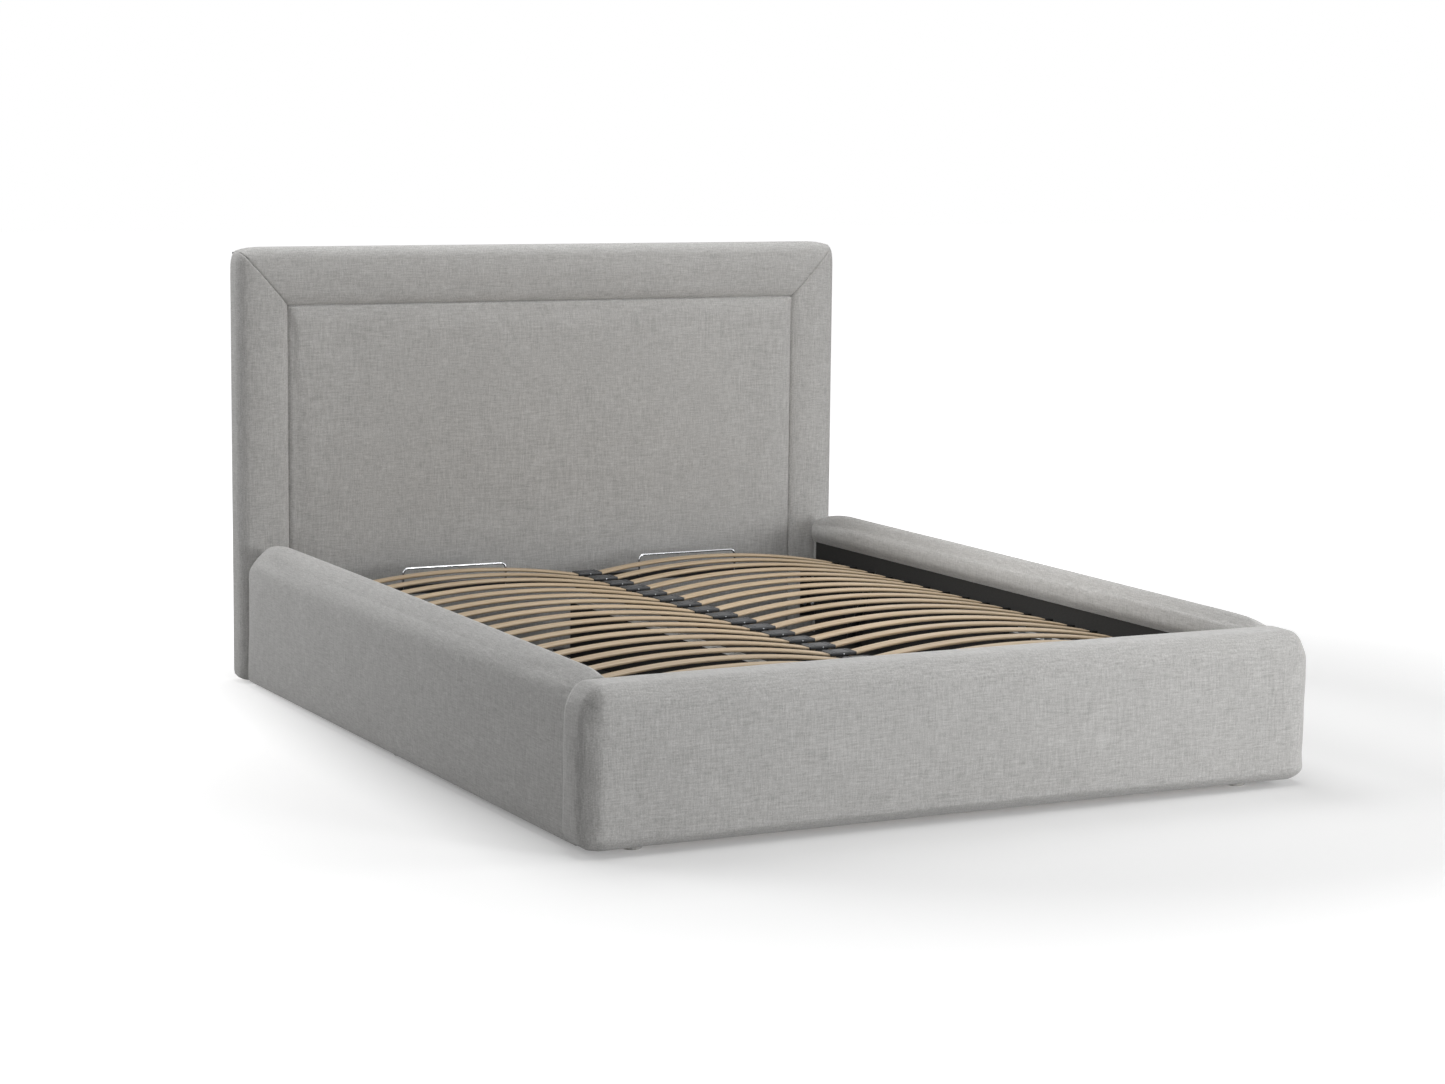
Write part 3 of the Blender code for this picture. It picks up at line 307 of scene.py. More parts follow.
@dataclass(frozen=True)
class Pillow:
    """A padded block: round corners seen from the front, soft edges and swollen faces.

    Seen along y its outline is a rectangle whose corners are quarter ellipses with the
    rounds of their sides in x and z as half axes.  The edge between the outline and a face
    in y is a quarter circle of that face's round.  A face is pushed out by its crown times
    (1 - a^2) * (1 - b^2), where a and b run from -1 to 1 across the face.
    """

    lo: Triple
    hi: Triple
    round_lo: Triple
    round_hi: Triple
    crown_lo: Triple = (0.0, 0.0, 0.0)
    crown_hi: Triple = (0.0, 0.0, 0.0)
    arcs: int = 4
    flats: tuple[int, int, int] = (1, 1, 1)
    extra: Sequence[float] = ()      # more cuts, as heights z

    def surface(self) -> Surface:
        """Cut the block's sides into cells and shape them.

        Returns:
            The closed surface.
        """
        fillet = max(self.round_lo[1], self.round_hi[1])
        lines = [cut_lines(self.lo[axis], self.hi[axis], self.round_lo[axis],
                           self.round_hi[axis], 0.0 if axis == 1 else fillet, self.arcs,
                           self.flats[axis], self.extra if axis == 2 else ())
                 for axis in range(3)]
        keys, quads = block_lattice([len(line) - 1 for line in lines])
        cage = np.stack([lines[axis][keys[:, axis]] for axis in range(3)], axis=1)
        return Surface(self.shaped(cage), [quads])

    def shaped(self, cage: Array) -> Array:
        """Move the points of the cut block on to the padded form.

        In a corner zone the scaled offset (a, b) from the zone's centre goes to
        (a, b) * max(a, b) / sqrt(a^2 + b^2), which turns squares into circles.  This is done
        once in x and z for the outline, and once more for the edge, with the depth from the
        outline and the place in y.

        Args:
            cage: the points of the cut block.

        Returns:
            The points of the padded form.
        """
        lo, hi = np.array(self.lo), np.array(self.hi)
        core = np.clip(cage, lo + self.round_lo, hi - self.round_hi)
        offset = cage - core
        radius = np.where(offset < 0, self.round_lo, self.round_hi)
        share = ratio(offset, radius)
        outline = share[:, [0, 2]]
        unit = ratio(outline, np.linalg.norm(outline, axis=1, keepdims=True))
        reach = np.abs(outline).max(axis=1, keepdims=True)
        arm = radius[:, [0, 2]] * unit
        span = np.linalg.norm(arm, axis=1, keepdims=True)
        fillet = np.minimum(radius[:, 1:2], span)
        edge = np.clip(1 - ratio((1 - reach) * span, fillet, 1.0), 0.0, 1.0)
        depth = np.abs(share[:, 1:2])
        shrink = ratio(np.maximum(edge, depth), np.hypot(edge, depth), 1.0)
        inset = ratio(fillet * edge * (1 - shrink), span)
        placed = cage.copy()
        placed[:, [0, 2]] = core[:, [0, 2]] + arm * (reach - inset)
        placed[:, 1:2] = core[:, 1:2] + offset[:, 1:2] * shrink
        across = (2 * cage - lo - hi) / (hi - lo)
        flat_end = (radius == 0) & (np.abs(across) > 0.999)
        facing_out = np.concatenate([unit[:, :1] * reach, share[:, 1:2], unit[:, 1:] * reach],
                                    axis=1)
        fall = 1 - across ** 2
        swell = fall[:, [1, 0, 0]] * fall[:, [2, 2, 1]]
        crown = np.where(across < 0, self.crown_lo, self.crown_hi)
        return placed + crown * np.where(flat_end, across, facing_out) * swell


def soft_block(lo: Triple, hi: Triple, soft: float) -> Surface:
    """Return a plain block with every edge rounded alike.

    Args:
        lo: its lowest corner.
        hi: its highest corner.
        soft: the round of its edges.

    Returns:
        The closed surface.
    """
    return Pillow(lo, hi, (soft,) * 3, (soft,) * 3, arcs=1).surface()


def linked(name: str, data: bpy.types.ID) -> bpy.types.Object:
    """Put a mesh, a lamp or a camera into the scene.

    Args:
        name: the object's name.
        data: what it shows.

    Returns:
        The object, at the origin.
    """
    thing = bpy.data.objects.new(name, data)
    bpy.context.scene.collection.objects.link(thing)
    return thing


def make_piece(name: str, surface: Surface, finish: "Finish", body: str,
               smooth_angle: float = 40.0) -> bpy.types.Object:
    """Turn a surface into an object that rides on a body.

    Args:
        name: the piece's name.
        surface: its points and faces.
        finish: what it is made of.
        body: the CAD body it moves with.
        smooth_angle: edges sharper than this many degrees stay sharp.

    Returns:
        The object, at the origin.
    """
    mesh = bpy.data.meshes.new(name)
    faces = [face for block in surface.faces for face in block.tolist()]
    mesh.from_pydata(surface.points.tolist(), [], faces)
    mesh.validate()
    mesh.shade_smooth()
    mesh.set_sharp_from_angle(angle=math.radians(smooth_angle))
    if surface.uv is not None:
        corners = np.concatenate(faces)
        layer = mesh.uv_layers.new(name="material_map")
        layer.uv.foreach_set("vector", surface.uv[corners].astype(np.float32).ravel())
    if surface.tone is not None:
        shade = mesh.attributes.new("tone", "FLOAT", "POINT")
        shade.data.foreach_set("value", surface.tone.astype(np.float32))
    mesh.materials.append(made(finish))
    piece = linked(name, mesh)
    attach(piece, body)
    LOG.info("%s: %d faces", name, len(faces))
    return piece


# Finishes


def linear(code: str) -> tuple[float, float, float, float]:
    """Turn an sRGB hex value into a linear colour with alpha.

    A channel c becomes c / 12.92 up to 0.04045, and ((c + 0.055) / 1.055) ^ 2.4 above it.

    Args:
        code: the value, as # and six digits.

    Returns:
        Red, green, blue and one.
    """
    channels = [int(code[place:place + 2], 16) / 255 for place in (1, 3, 5)]
    curve = [c / 12.92 if c <= 0.04045 else ((c + 0.055) / 1.055) ** 2.4 for c in channels]
    return (curve[0], curve[1], curve[2], 1.0)


def add_node(tree: Tree, kind: str, inputs: dict | None = None,
             **settings: object) -> bpy.types.Node:
    """Add a node with its settings, its values and its links.

    Args:
        tree: the material's or the world's node tree.
        kind: the node's type name, without the ShaderNode in front.
        inputs: values or output sockets for its inputs, by name or number.
        settings: attributes of the node itself.

    Returns:
        The new node.
    """
    node = tree.nodes.new("ShaderNode" + kind)
    for key, value in settings.items():
        setattr(node, key, value)
    for key, value in (inputs or {}).items():
        if isinstance(value, Socket):
            tree.links.new(value, node.inputs[key])
        else:
            node.inputs[key].default_value = value
    return node


@dataclass(frozen=True)
class Coat:
    """What every finish has: its name, the plain values of its shader and its relief."""

    name: str
    roughness: float
    metallic: float = 0.0
    ior: float = 1.5
    specular: float = 0.5
    relief: float = 0.0002       # depth in metres
    strength: float = 0.3

    def material(self) -> bpy.types.Material:
        """Make the material: the shader's values, and the colour and height of the pattern.

        Returns:
            The new material.
        """
        material = bpy.data.materials.new(self.name)
        material.use_nodes = True
        tree = material.node_tree
        shader = tree.nodes["Principled BSDF"]
        shader.inputs["Roughness"].default_value = self.roughness
        shader.inputs["Metallic"].default_value = self.metallic
        if self.metallic < 1:
            shader.inputs["IOR"].default_value = self.ior
            shader.inputs["Specular IOR Level"].default_value = self.specular
        colour, height = self.pattern(tree, shader)
        relief = add_node(tree, "Bump", {"Height": height, "Distance": self.relief,
                                         "Strength": self.strength})
        tree.links.new(colour, shader.inputs["Base Color"])
        tree.links.new(relief.outputs["Normal"], shader.inputs["Normal"])
        return material

    def pattern(self, tree: Tree, shader: bpy.types.Node) -> tuple[Socket, Socket]:
        """Add the nodes of the finish's own pattern.

        Args:
            tree: the material's node tree.
            shader: its shader, for what changes more than colour and height.

        Returns:
            The colour and the height.
        """
        raise NotImplementedError(self.name)

    def noise(self, tree: Tree, period: Triple, detail: float = 2.0,
              source: str = "Object") -> Socket:
        """Add noise whose features have the given size in metres along each axis.

        Args:
            tree: the node tree.
            period: feature size along x, y and z; the coordinates are divided by it.
            detail: octaves of finer noise.
            source: the output of Texture Coordinate that is read.

        Returns:
            The noise, from 0 to 1.
        """
        place = add_node(tree, "TexCoord")
        scaled = add_node(tree, "Mapping", {0: place.outputs[source],
                                            "Scale": [1 / size for size in period]})
        made_noise = add_node(tree, "TexNoise", {"Vector": scaled.outputs[0], "Scale": 1.0,
                                                 "Detail": detail, "Roughness": 0.55})
        return made_noise.outputs["Fac"]


@dataclass(frozen=True)
class Streaked(Coat):
    """A finish whose colour runs over three stops, each a place from 0 to 1 and a colour."""

    stops: tuple[tuple[float, str], ...] = ()

    def toned(self, tree: Tree, share: Socket, level: Socket) -> Socket:
        """Add the colour that the stops give, multiplied by a level near one.

        Args:
            tree: the node tree.
            share: the place among the stops.
            level: how light the place is.

        Returns:
            The colour.
        """
        ramp = add_node(tree, "ValToRGB", {0: share})
        marks = ramp.color_ramp.elements
        marks.new(0.5)
        for mark, (place, code) in zip(marks, self.stops):
            mark.position, mark.color = place, linear(code)
        product = add_node(tree, "Mix", {0: 1.0, 6: ramp.outputs[0], 7: level},
                           data_type="RGBA", blend_type="MULTIPLY")
        return product.outputs[2]


@dataclass(frozen=True)
class WovenFabric(Streaked):
    """Linen-look upholstery: flat-woven polyester with thick and thin yarn.

    The yarn's slubs give short light and dark streaks along both threads, and the loose
    fibres give a soft light rim.
    """

    relief: float = 0.0006
    strength: float = 0.35
    stops: tuple[tuple[float, str], ...] = ((0.36, "#A3A2A0"), (0.50, "#BAB9B7"),
                                            (0.64, "#CDCCCA"))
    slub_width: float = 0.0028   # drawn about twice as thick as the yarn, to show
    slub_length: float = 0.030
    thread: float = 0.0016       # a real weave has 1 mm threads; drawn coarser, to show
    cloud: float = 0.090
    cloud_range: tuple[float, float] = (0.3, 0.7)        # the part of the noise that counts
    cloud_level: tuple[float, float] = (0.975, 1.02)
    rim: float = 0.30
    rim_roughness: float = 0.45

    def pattern(self, tree: Tree, shader: bpy.types.Node) -> tuple[Socket, Socket]:
        """Add the mean of three streaks, one along each axis, under wide faint clouds.

        Args:
            tree: the material's node tree.
            shader: its shader, which gets the soft light rim.

        Returns:
            The colour and the height.
        """
        width, length = self.slub_width, self.slub_length
        total = self.noise(tree, (length, width, width))
        for period in ((width, length, width), (width, width, length)):
            total = add_node(tree, "Math", {0: total, 1: self.noise(tree, period)},
                             operation="ADD").outputs[0]
        mean = add_node(tree, "Math", {0: total, 1: 1 / 3}, operation="MULTIPLY").outputs[0]
        cloud = self.noise(tree, (self.cloud,) * 3, 1.0)
        (low, high), (dark, light) = self.cloud_range, self.cloud_level
        level = add_node(tree, "MapRange", {0: cloud, 1: low, 2: high, 3: dark, 4: light})
        thread = self.noise(tree, (self.thread,) * 3, 0.0)
        height = add_node(tree, "Math", {0: mean, 1: thread}, operation="ADD")
        shader.inputs["Sheen Weight"].default_value = self.rim
        shader.inputs["Sheen Roughness"].default_value = self.rim_roughness
        return self.toned(tree, mean, level.outputs[0]), height.outputs[0]


@dataclass(frozen=True)
class BirchVeneer(Streaked):
    """Sprung slat of steam-bent birch plies under a thin clear lacquer.

    The face shows long fine grain, every slat has its own shade, and the lacquer gives a
    faint satin gloss.
    """

    relief: float = 0.0003
    strength: float = 0.25
    stops: tuple[tuple[float, str], ...] = ((0.34, "#987F60"), (0.48, "#B39D7F"),
                                            (0.68, "#C2AF94"))
    grain: Triple = (0.120, 0.0022, 1.0)     # along the slat and across it
    flame: Triple = (0.360, 0.0088, 1.0)

    def pattern(self, tree: Tree, shader: bpy.types.Node) -> tuple[Socket, Socket]:
        """Add the mean of fine lines and broad flames on the slat's map, times its tone.

        Args:
            tree: the material's node tree.
            shader: its shader.

        Returns:
            The colour and the height.
        """
        lines = self.noise(tree, self.grain, 3.0, "UV")
        flames = self.noise(tree, self.flame, 1.0, "UV")
        both = add_node(tree, "Math", {0: lines, 1: flames}, operation="ADD")
        mean = add_node(tree, "Math", {0: both.outputs[0], 1: 0.5}, operation="MULTIPLY")
        tone = add_node(tree, "Attribute", attribute_name="tone")
        return self.toned(tree, mean.outputs[0], tone.outputs["Fac"]), lines


@dataclass(frozen=True)
class Mottled(Coat):
    """A finish of two close colours that change with the place.

    It serves moulded plastic, powder paint, zinc, felt and boards, whose grains differ only
    in size, contrast and relief.
    """

    colour: str = "#808080"
    second: str = "#808080"
    grain: Triple = (0.004, 0.004, 0.004)
    wear: float = 0.0            # how much the roughness changes over a hand's breadth
    wear_size: float = 0.06

    def pattern(self, tree: Tree, shader: bpy.types.Node) -> tuple[Socket, Socket]:
        """Add the mix of the two colours by the grain, and the worn places' roughness.

        Args:
            tree: the material's node tree.
            shader: its shader, whose roughness the wear changes.

        Returns:
            The colour and the height.
        """
        grain = self.noise(tree, self.grain, 3.0)
        mixed = add_node(tree, "Mix", {0: grain, 6: linear(self.colour), 7: linear(self.second)},
                         data_type="RGBA")
        if self.wear:
            smear = self.noise(tree, (self.wear_size,) * 3)
            rough = add_node(tree, "MapRange", {0: smear, 3: self.roughness - self.wear,
                                                4: self.roughness + self.wear})
            tree.links.new(rough.outputs[0], shader.inputs["Roughness"])
        return mixed.outputs[2], grain


@dataclass(frozen=True)
class ChipBoard(Coat):
    """Raw particle board: pressed flat chips of several browns, matt, on white nylon glides."""

    relief: float = 0.0004
    dark: str = "#9A7C55"
    light: str = "#CDB289"
    glide: str = "#D8D7D4"
    glide_top: float = 0.0122
    chip: float = 0.006

    def pattern(self, tree: Tree, shader: bpy.types.Node) -> tuple[Socket, Socket]:
        """Add one random brown for each cell of a chip's size, and nylon on the glides.

        The glides are one solid with their board, so the colour changes below their top.

        Args:
            tree: the material's node tree.
            shader: its shader.

        Returns:
            The colour and the height.
        """
        place = add_node(tree, "TexCoord").outputs["Object"]
        cells = add_node(tree, "TexVoronoi", {"Vector": place, "Scale": 1 / self.chip})
        ramp = add_node(tree, "ValToRGB", {0: cells.outputs["Color"]})
        for mark, code in zip(ramp.color_ramp.elements, (self.dark, self.light)):
            mark.color = linear(code)
        height = add_node(tree, "SeparateXYZ", {0: place})
        low = add_node(tree, "Math", {0: height.outputs["Z"], 1: self.glide_top},
                       operation="LESS_THAN")
        shade = add_node(tree, "Mix", {0: low.outputs[0], 6: ramp.outputs[0],
                                       7: linear(self.glide)}, data_type="RGBA")
        return shade.outputs[2], cells.outputs["Distance"]


class Finish(Enum):
    """Every finish of the bed."""

    FABRIC = WovenFabric("linen_look_weave", 0.92)
    BIRCH = BirchVeneer("lacquered_birch_slat", 0.45)
    CHIP_BOARD = ChipBoard("raw_particle_board", 0.85)
    # glass-filled polypropylene, moulded: dark grey with a fine dull grain
    PLASTIC = Mottled("moulded_polypropylene", 0.48, colour="#303133", second="#393A3C",
                      grain=(0.0015,) * 3, wear=0.06)
    # soft rubber, moulded: near black and matt
    RUBBER = Mottled("moulded_rubber", 0.92, specular=0.12, colour="#111111", second="#181818",
                     grain=(0.002,) * 3)
    # powder paint on steel: black with the fine orange peel of baked powder
    POWDER = Mottled("powder_coated_steel", 0.42, colour="#1A1A1B", second="#222224",
                     grain=(0.0018,) * 3, relief=0.0003, wear=0.05)
    # bright zinc plating on pressed steel: pale metal with faint cloudy spangle
    ZINC = Mottled("zinc_plated_steel", 0.30, 1.0, colour="#C4C7CA", second="#A9ADB2",
                   grain=(0.012,) * 3, relief=0.0001, wear=0.08)
    # chrome plating on drawn wire: bright, with faint marks of the drawing
    CHROME = Mottled("chrome_plated_wire", 0.24, 1.0, colour="#D6D8DA", second="#C6C9CC",
                     grain=(0.02, 0.002, 0.002), relief=0.00005, wear=0.04)
    # needle felt pressed on the rails: charcoal with loose short fibres
    LINING = Mottled("pressed_needle_felt", 0.95, colour="#201F1E", second="#302F2D",
                     grain=(0.003, 0.010, 0.003), relief=0.0006, strength=0.5)
    # melamine-faced fibre board: black and finely pebbled
    FLOOR_BOARD = Mottled("melamine_faced_board", 0.55, colour="#1C1B1A", second="#232220",
                          grain=(0.002,) * 3, wear=0.05)
    # spun-bonded dust cloth on the back: black with short crossing fibres
    BACK_CLOTH = Mottled("spun_bonded_cloth", 0.90, colour="#1D1D1D", second="#2A2A2A",
                         grain=(0.002, 0.006, 0.004), relief=0.0004)
    # extruded edge profile: pale plastic with a satin skin
    EDGE_STRIP = Mottled("extruded_edge_profile", 0.40, colour="#F3F1ED", second="#E8E6E1",
                         grain=(0.004, 0.03, 0.004))
    # polyethylene foam, sliced: white and matt, with fine closed cells
    FOAM = Mottled("sliced_polyethylene_foam", 0.75, colour="#F7F7F5", second="#EDEDEB",
                   grain=(0.0025,) * 3)


@cache
def made(finish: Finish) -> bpy.types.Material:
    """Return the material of a finish, which is made once."""
    return finish.value.material()


# Padded pieces


def settled(surface: Surface, held: Array) -> Surface:
    """Let a pad swell as stuffed fabric does, with Blender's cloth.

    The points that are held stay, every other point moves with the cloth for twenty frames
    and then goes back along its path until it is no more than the cap from where it started:
    p + d * min(1, cap / |d|).

    Args:
        surface: the pad before it is stuffed.
        held: true for each point that is stapled or sewn down.

    Returns:
        The swollen pad.
    """
    mesh = bpy.data.meshes.new("cloth_cage")
    mesh.from_pydata(surface.points.tolist(), [], surface.faces[0].tolist())
    cage = linked("cloth_cage", mesh)
    scene = bpy.context.scene
    group = cage.vertex_groups.new(name=CLOTH["vertex_group_mass"])
    group.add(np.flatnonzero(held).tolist(), 1.0, "REPLACE")
    cloth = cage.modifiers.new("cloth", "CLOTH")
    for key, value in CLOTH.items():
        setattr(cloth.settings, key, value)
    cloth.settings.effector_weights.gravity = 0
    cloth.collision_settings.use_collision = False
    cloth.point_cache.frame_start = 1
    cloth.point_cache.frame_end = CLOTH_FRAMES
    for frame in range(1, CLOTH_FRAMES + 1):
        scene.frame_set(frame)
    swollen = cage.evaluated_get(bpy.context.evaluated_depsgraph_get()).data
    points = np.zeros(len(surface.points) * 3, np.float32)
    swollen.vertices.foreach_get("co", points)
    scene.frame_set(1)
    bpy.data.objects.remove(cage)
    bpy.data.meshes.remove(mesh)
    step = points.reshape(-1, 3) - surface.points
    length = np.linalg.norm(step, axis=1, keepdims=True)
    step *= np.minimum(1.0, CLOTH_CAP / np.maximum(length, CLOTH_CAP / 10))
    LOG.info("cloth moved %.1f mm at most", 1000 * np.linalg.norm(step, axis=1).max())
    return Surface(surface.points + step, surface.faces)


def padded_piece(name: str, surface: Surface, fill: float, *nodes: str) -> None:
    """Make a padded cover that stands for CAD nodes, with one subdivision.

    Args:
        name: the piece's name.
        surface: its closed form.
        fill: how tightly it is stuffed, from 0 to 1; not used.
        nodes: the CAD nodes that it stands for.
    """
    piece = make_piece(name, surface, Finish.FABRIC, BED_BODY, smooth_angle=75.0)
    smooth = piece.modifiers.new("subdivision", "SUBSURF")
    smooth.levels = smooth.render_levels = 1
    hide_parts(*nodes)


@dataclass
class Headboard:
    """Padded headboard: three borders with mitred seams round a sunk panel."""

    half: float = 0.876
    base: float = 0.0040
    top: float = 1.1335
    face: float = 1.046              # y of the front
    depth: float = 0.0867            # from the front to the back cover
    border_side: float = 0.1368
    border_top: float = 0.1505
    foam: float = 0.0447
    wrap: float = 0.0162
    board_edge: float = 0.066
    corner_share: float = 0.27       # corner radius as a share of the border's width
    edge_share: float = 0.235
    roll_share: float = 0.30         # the soft edge that rolls down to the panel
    swell: float = 0.0025
    seam_depth: float = 0.017
    seam_wall: float = 0.012
    back_round: float = 0.026
    groove: float = 0.0022
    groove_width: float = 0.0032
    mitre: float = 0.72              # how far off a slanting seam is, per metre along the pad
    pucker: float = 0.0008
    pucker_waves: float = 42.0
    pucker_reach: float = 0.025
    panel_recess: float = 0.004
    panel_edge: Triple = (0.034, 0.014, 0.010)
    panel_tuck: float = 0.004        # how far the panel runs in under the borders
    panel_crown: float = 0.003
    panel_front: float = 0.012       # how much of the panel's edge isn't stapled

    def border_profile(self) -> tuple[Array, Array]:
        """Work out the closed profile of a border.

        It runs from the back round the outer edge, a quarter circle of the edge share, over
        the face with a slight swell, down the rolled edge, a quarter ellipse, to the seam of
        the panel, and back along the board.

        Returns:
            The share across the border and the depth behind the front, point by point.
        """
        edge = self.edge_share * self.border_side
        wrap = self.wrap / self.border_side
        turn = np.linspace(0.0, math.pi / 2, 9)
        roll = np.linspace(0.0, math.pi / 2, 7)
        flat = np.linspace(self.edge_share, 1 - self.roll_share, 8)[1:-1]
        back = turn[::2]
        side = np.linspace(self.depth - self.back_round, edge, 4)[1:-1]
        pieces = [
            (wrap * (1 - np.sin(back)), self.depth - self.back_round * (1 - np.cos(back))),
            (np.zeros_like(side), side),
            (self.edge_share * (1 - np.cos(turn)), edge * (1 - np.sin(turn))),
            (flat, -self.swell * np.sin(np.linspace(0.0, math.pi, 8)[1:-1])),
            (1 - self.roll_share * (1 - np.sin(roll)), self.seam_depth * (1 - np.cos(roll))),
            ([1.0, 1.0, 0.5, wrap, wrap], [self.seam_depth + self.seam_wall, self.foam, self.foam,
                                           self.foam, self.board_edge]),
        ]
        share, depth = (np.concatenate(column) for column in zip(*pieces))
        return share, depth

    def border_surface(self, border: Border) -> Surface:
        """Sweep one border along its length between its ends.

        With share q across the border, a side border ends at z = top - q * border_top and
        the top border at x = half - q * border_side, which is the mitre line.  A corner
        square is then drawn to a quarter circle: the point (a, b) goes to
        (a, b) * max(a, b) / sqrt(a^2 + b^2).

        Args:
            border: which one it is.

        Returns:
            The closed surface.
        """
        share, depth = self.border_profile()
        even = np.linspace(0.0, 1.0, 40)
        near = self.groove_width * np.array([0.25, 0.6, 1.0, 1.6, 2.6])
        reach = self.half - share * self.border_side
        high = self.top - share * self.border_top
        if border is Border.TOP:
            near /= 2 * self.half
            along = np.unique(np.concatenate([even, near, 1 - near]))[:, None]
            x, z = np.broadcast_arrays(reach * (2 * along - 1), high)
            to_seam = np.minimum(along, 1 - along) * 2 * reach
        else:
            near /= self.top - self.base
            along = np.unique(np.concatenate([even, 1 - near]))[:, None]
            x, z = np.broadcast_arrays(reach, self.base + (high - self.base) * along)
            to_seam = (1 - along) * (high - self.base)
        seam = self.groove * np.exp(-(to_seam * self.mitre / self.groove_width) ** 2)
        waves = self.pucker * np.sin(share * self.pucker_waves)
        on_front = depth < self.foam - 0.005     # the seams are drawn in on the front alone
        y = self.face + depth + on_front * (seam + waves * np.exp(-to_seam / self.pucker_reach))
        side, over = self.corner_share * self.border_side, self.corner_share * self.border_top
        a = np.clip((np.abs(x) - self.half + side) / side, 0, None)
        b = np.clip((z - self.top + over) / over, 0, None)
        shrink = ratio(np.maximum(a, b), np.hypot(a, b), 1.0)
        x = np.where(a > 0, np.sign(x) * (self.half - side + a * shrink * side), x)
        z = np.where(b > 0, self.top - over + b * shrink * over, z)
        surface = lofted(np.stack([x, y, z], axis=2))
        return surface.mirrored() if border is Border.LEFT else surface

    def build(self) -> None:
        """Make the three borders and the panel."""
        for border in Border:
            padded_piece("headboard_border_" + border.value, self.border_surface(border), 0.9,
                         "headboard_pad_" + border.value)
        wide = self.half - self.border_side + self.panel_tuck
        high = self.top - self.border_top + self.panel_tuck
        front = self.face + self.panel_recess
        side, face, over = self.panel_edge
        panel = Pillow((-wide, front, self.base), (wide, self.face + self.foam, high),
                       (side, face, 0.0), (side, 0.0, over), (0.0, self.panel_crown, 0.0),
                       arcs=5, flats=(60, 1, 40)).surface()
        held = panel.points[:, 1] > front + self.panel_front
        padded_piece("headboard_centre_panel", settled(panel, held), 0.8, "headboard_panel")


@dataclass
class SideRail:
    """Padded side rail: swollen outer face, large round on top, a soft lip over the lining."""

    side: Side
    inner: float = 0.797
    thick: float = 0.074
    bulge: float = 0.014
    crown: float = 0.004
    foot: float = -1.030             # it runs in under the round of the footboard
    head: float = 1.0457
    base: float = 0.0127
    top: float = 0.375
    outer_round: float = 0.050
    inner_round: float = 0.024
    top_round: float = 0.066
    head_round: float = 0.028
    foot_round: float = 0.003
    foot_drop: float = 0.018         # how far the top comes down behind the footboard
    foot_reach: float = 0.062
    head_rise: float = 0.004         # the top at the head end
    head_drop: float = 0.034         # how far it rounds down there, over the last head_reach
    head_reach: float = 0.220
    head_lean: float = 0.008         # how much larger the outer round is at the head end
    fall: float = 0.0085             # how much lower the top lies at the foot end
    lean: float = 0.024              # how much lower the top lies on the outside
    head_tuck: float = 0.004         # how far the outside stands in at the head end
    head_held: float = 0.004         # the stapled strip at the head end and along the base
    foot_held: float = 0.003
    flare: float = 0.012             # how much further out it stands at the foot end
    lip: float = 0.010               # how far the padding stands over the lining
    lip_height: float = 0.2925
    lip_turn: float = 0.002

    def build(self) -> None:
        """Make the cover.

        Below the lining's top the inner face stands back by the lip: it is moved outwards by
        lip * s * s * (3 - 2 * s), with s from 0 to 1 over the turn.  At the foot the top comes
        down as a quarter ellipse, by drop * (1 - sqrt(1 - t^2)) with t from 0 to 1.  The top
        rises by rise - fall * u + lean * (1.5 - u) * (0.5 - v) and the outside moves out by
        (flare * u - tuck - head_lean * h * (1 - u)^2) * v, with u from the head to the foot, v
        from inside to outside and h from the lip to the top.  Over the last reach before the
        headboard the top comes down by head_drop * t^2 * h, with t from 0 to 1.
        """
        cuts = self.lip_height + self.lip_turn * np.array([-1.5, -0.6, 0.0, 0.6, 1.5])
        cover = Pillow((self.inner, self.foot, self.base),
                       (self.inner + self.thick, self.head, self.top),
                       (self.inner_round, self.foot_round, 0.0),
                       (self.outer_round, self.head_round, self.top_round),
                       (0.0, 0.0, 0.0), (self.bulge, 0.0, self.crown),
                       arcs=6, flats=(1, 90, 12), extra=tuple(cuts)).surface()
        x, y, z = cover.points.T         # views: every step moves the cover's own points
        under = np.clip((self.lip_height - z) / (2 * self.lip_turn) + 0.5, 0.0, 1.0)
        near = np.clip(1 - (x - self.inner) / (self.thick / 2), 0.0, 1.0)
        x += self.lip * under ** 2 * (3 - 2 * under) * near
        close = np.clip((self.foot + self.foot_reach - y) / self.foot_reach, 0.0, 1.0)
        height = np.clip((z - self.lip_height) / (self.top - self.lip_height), 0.0, 1.0)
        back = np.clip((y - self.head) / self.head_reach + 1, 0.0, 1.0)
        z -= (self.foot_drop * (1 - np.sqrt(1 - close ** 2)) + self.head_drop * back ** 2) * height
        along = (self.head - y) / (self.head - self.foot)
        across = np.clip((x - self.inner) / self.thick, 0.0, 1.0)
        z += height * (self.head_rise - self.fall * along
                       + self.lean * (1.5 - along) * (0.5 - across))
        x += (self.flare * along - self.head_tuck
              - self.head_lean * height * (1 - along) ** 2) * across
        held = ((z < self.base + self.head_held) | (y > self.head - self.head_held)
                | (y < self.foot + self.foot_held) | (under > 0) & (near > 0))
        cover = settled(cover, held)
        if self.side is Side.LEFT:
            cover = cover.mirrored()
        padded_piece("rail_padding_" + self.side.label, cover, 0.9,
                     "rail_cover_" + self.side.label)


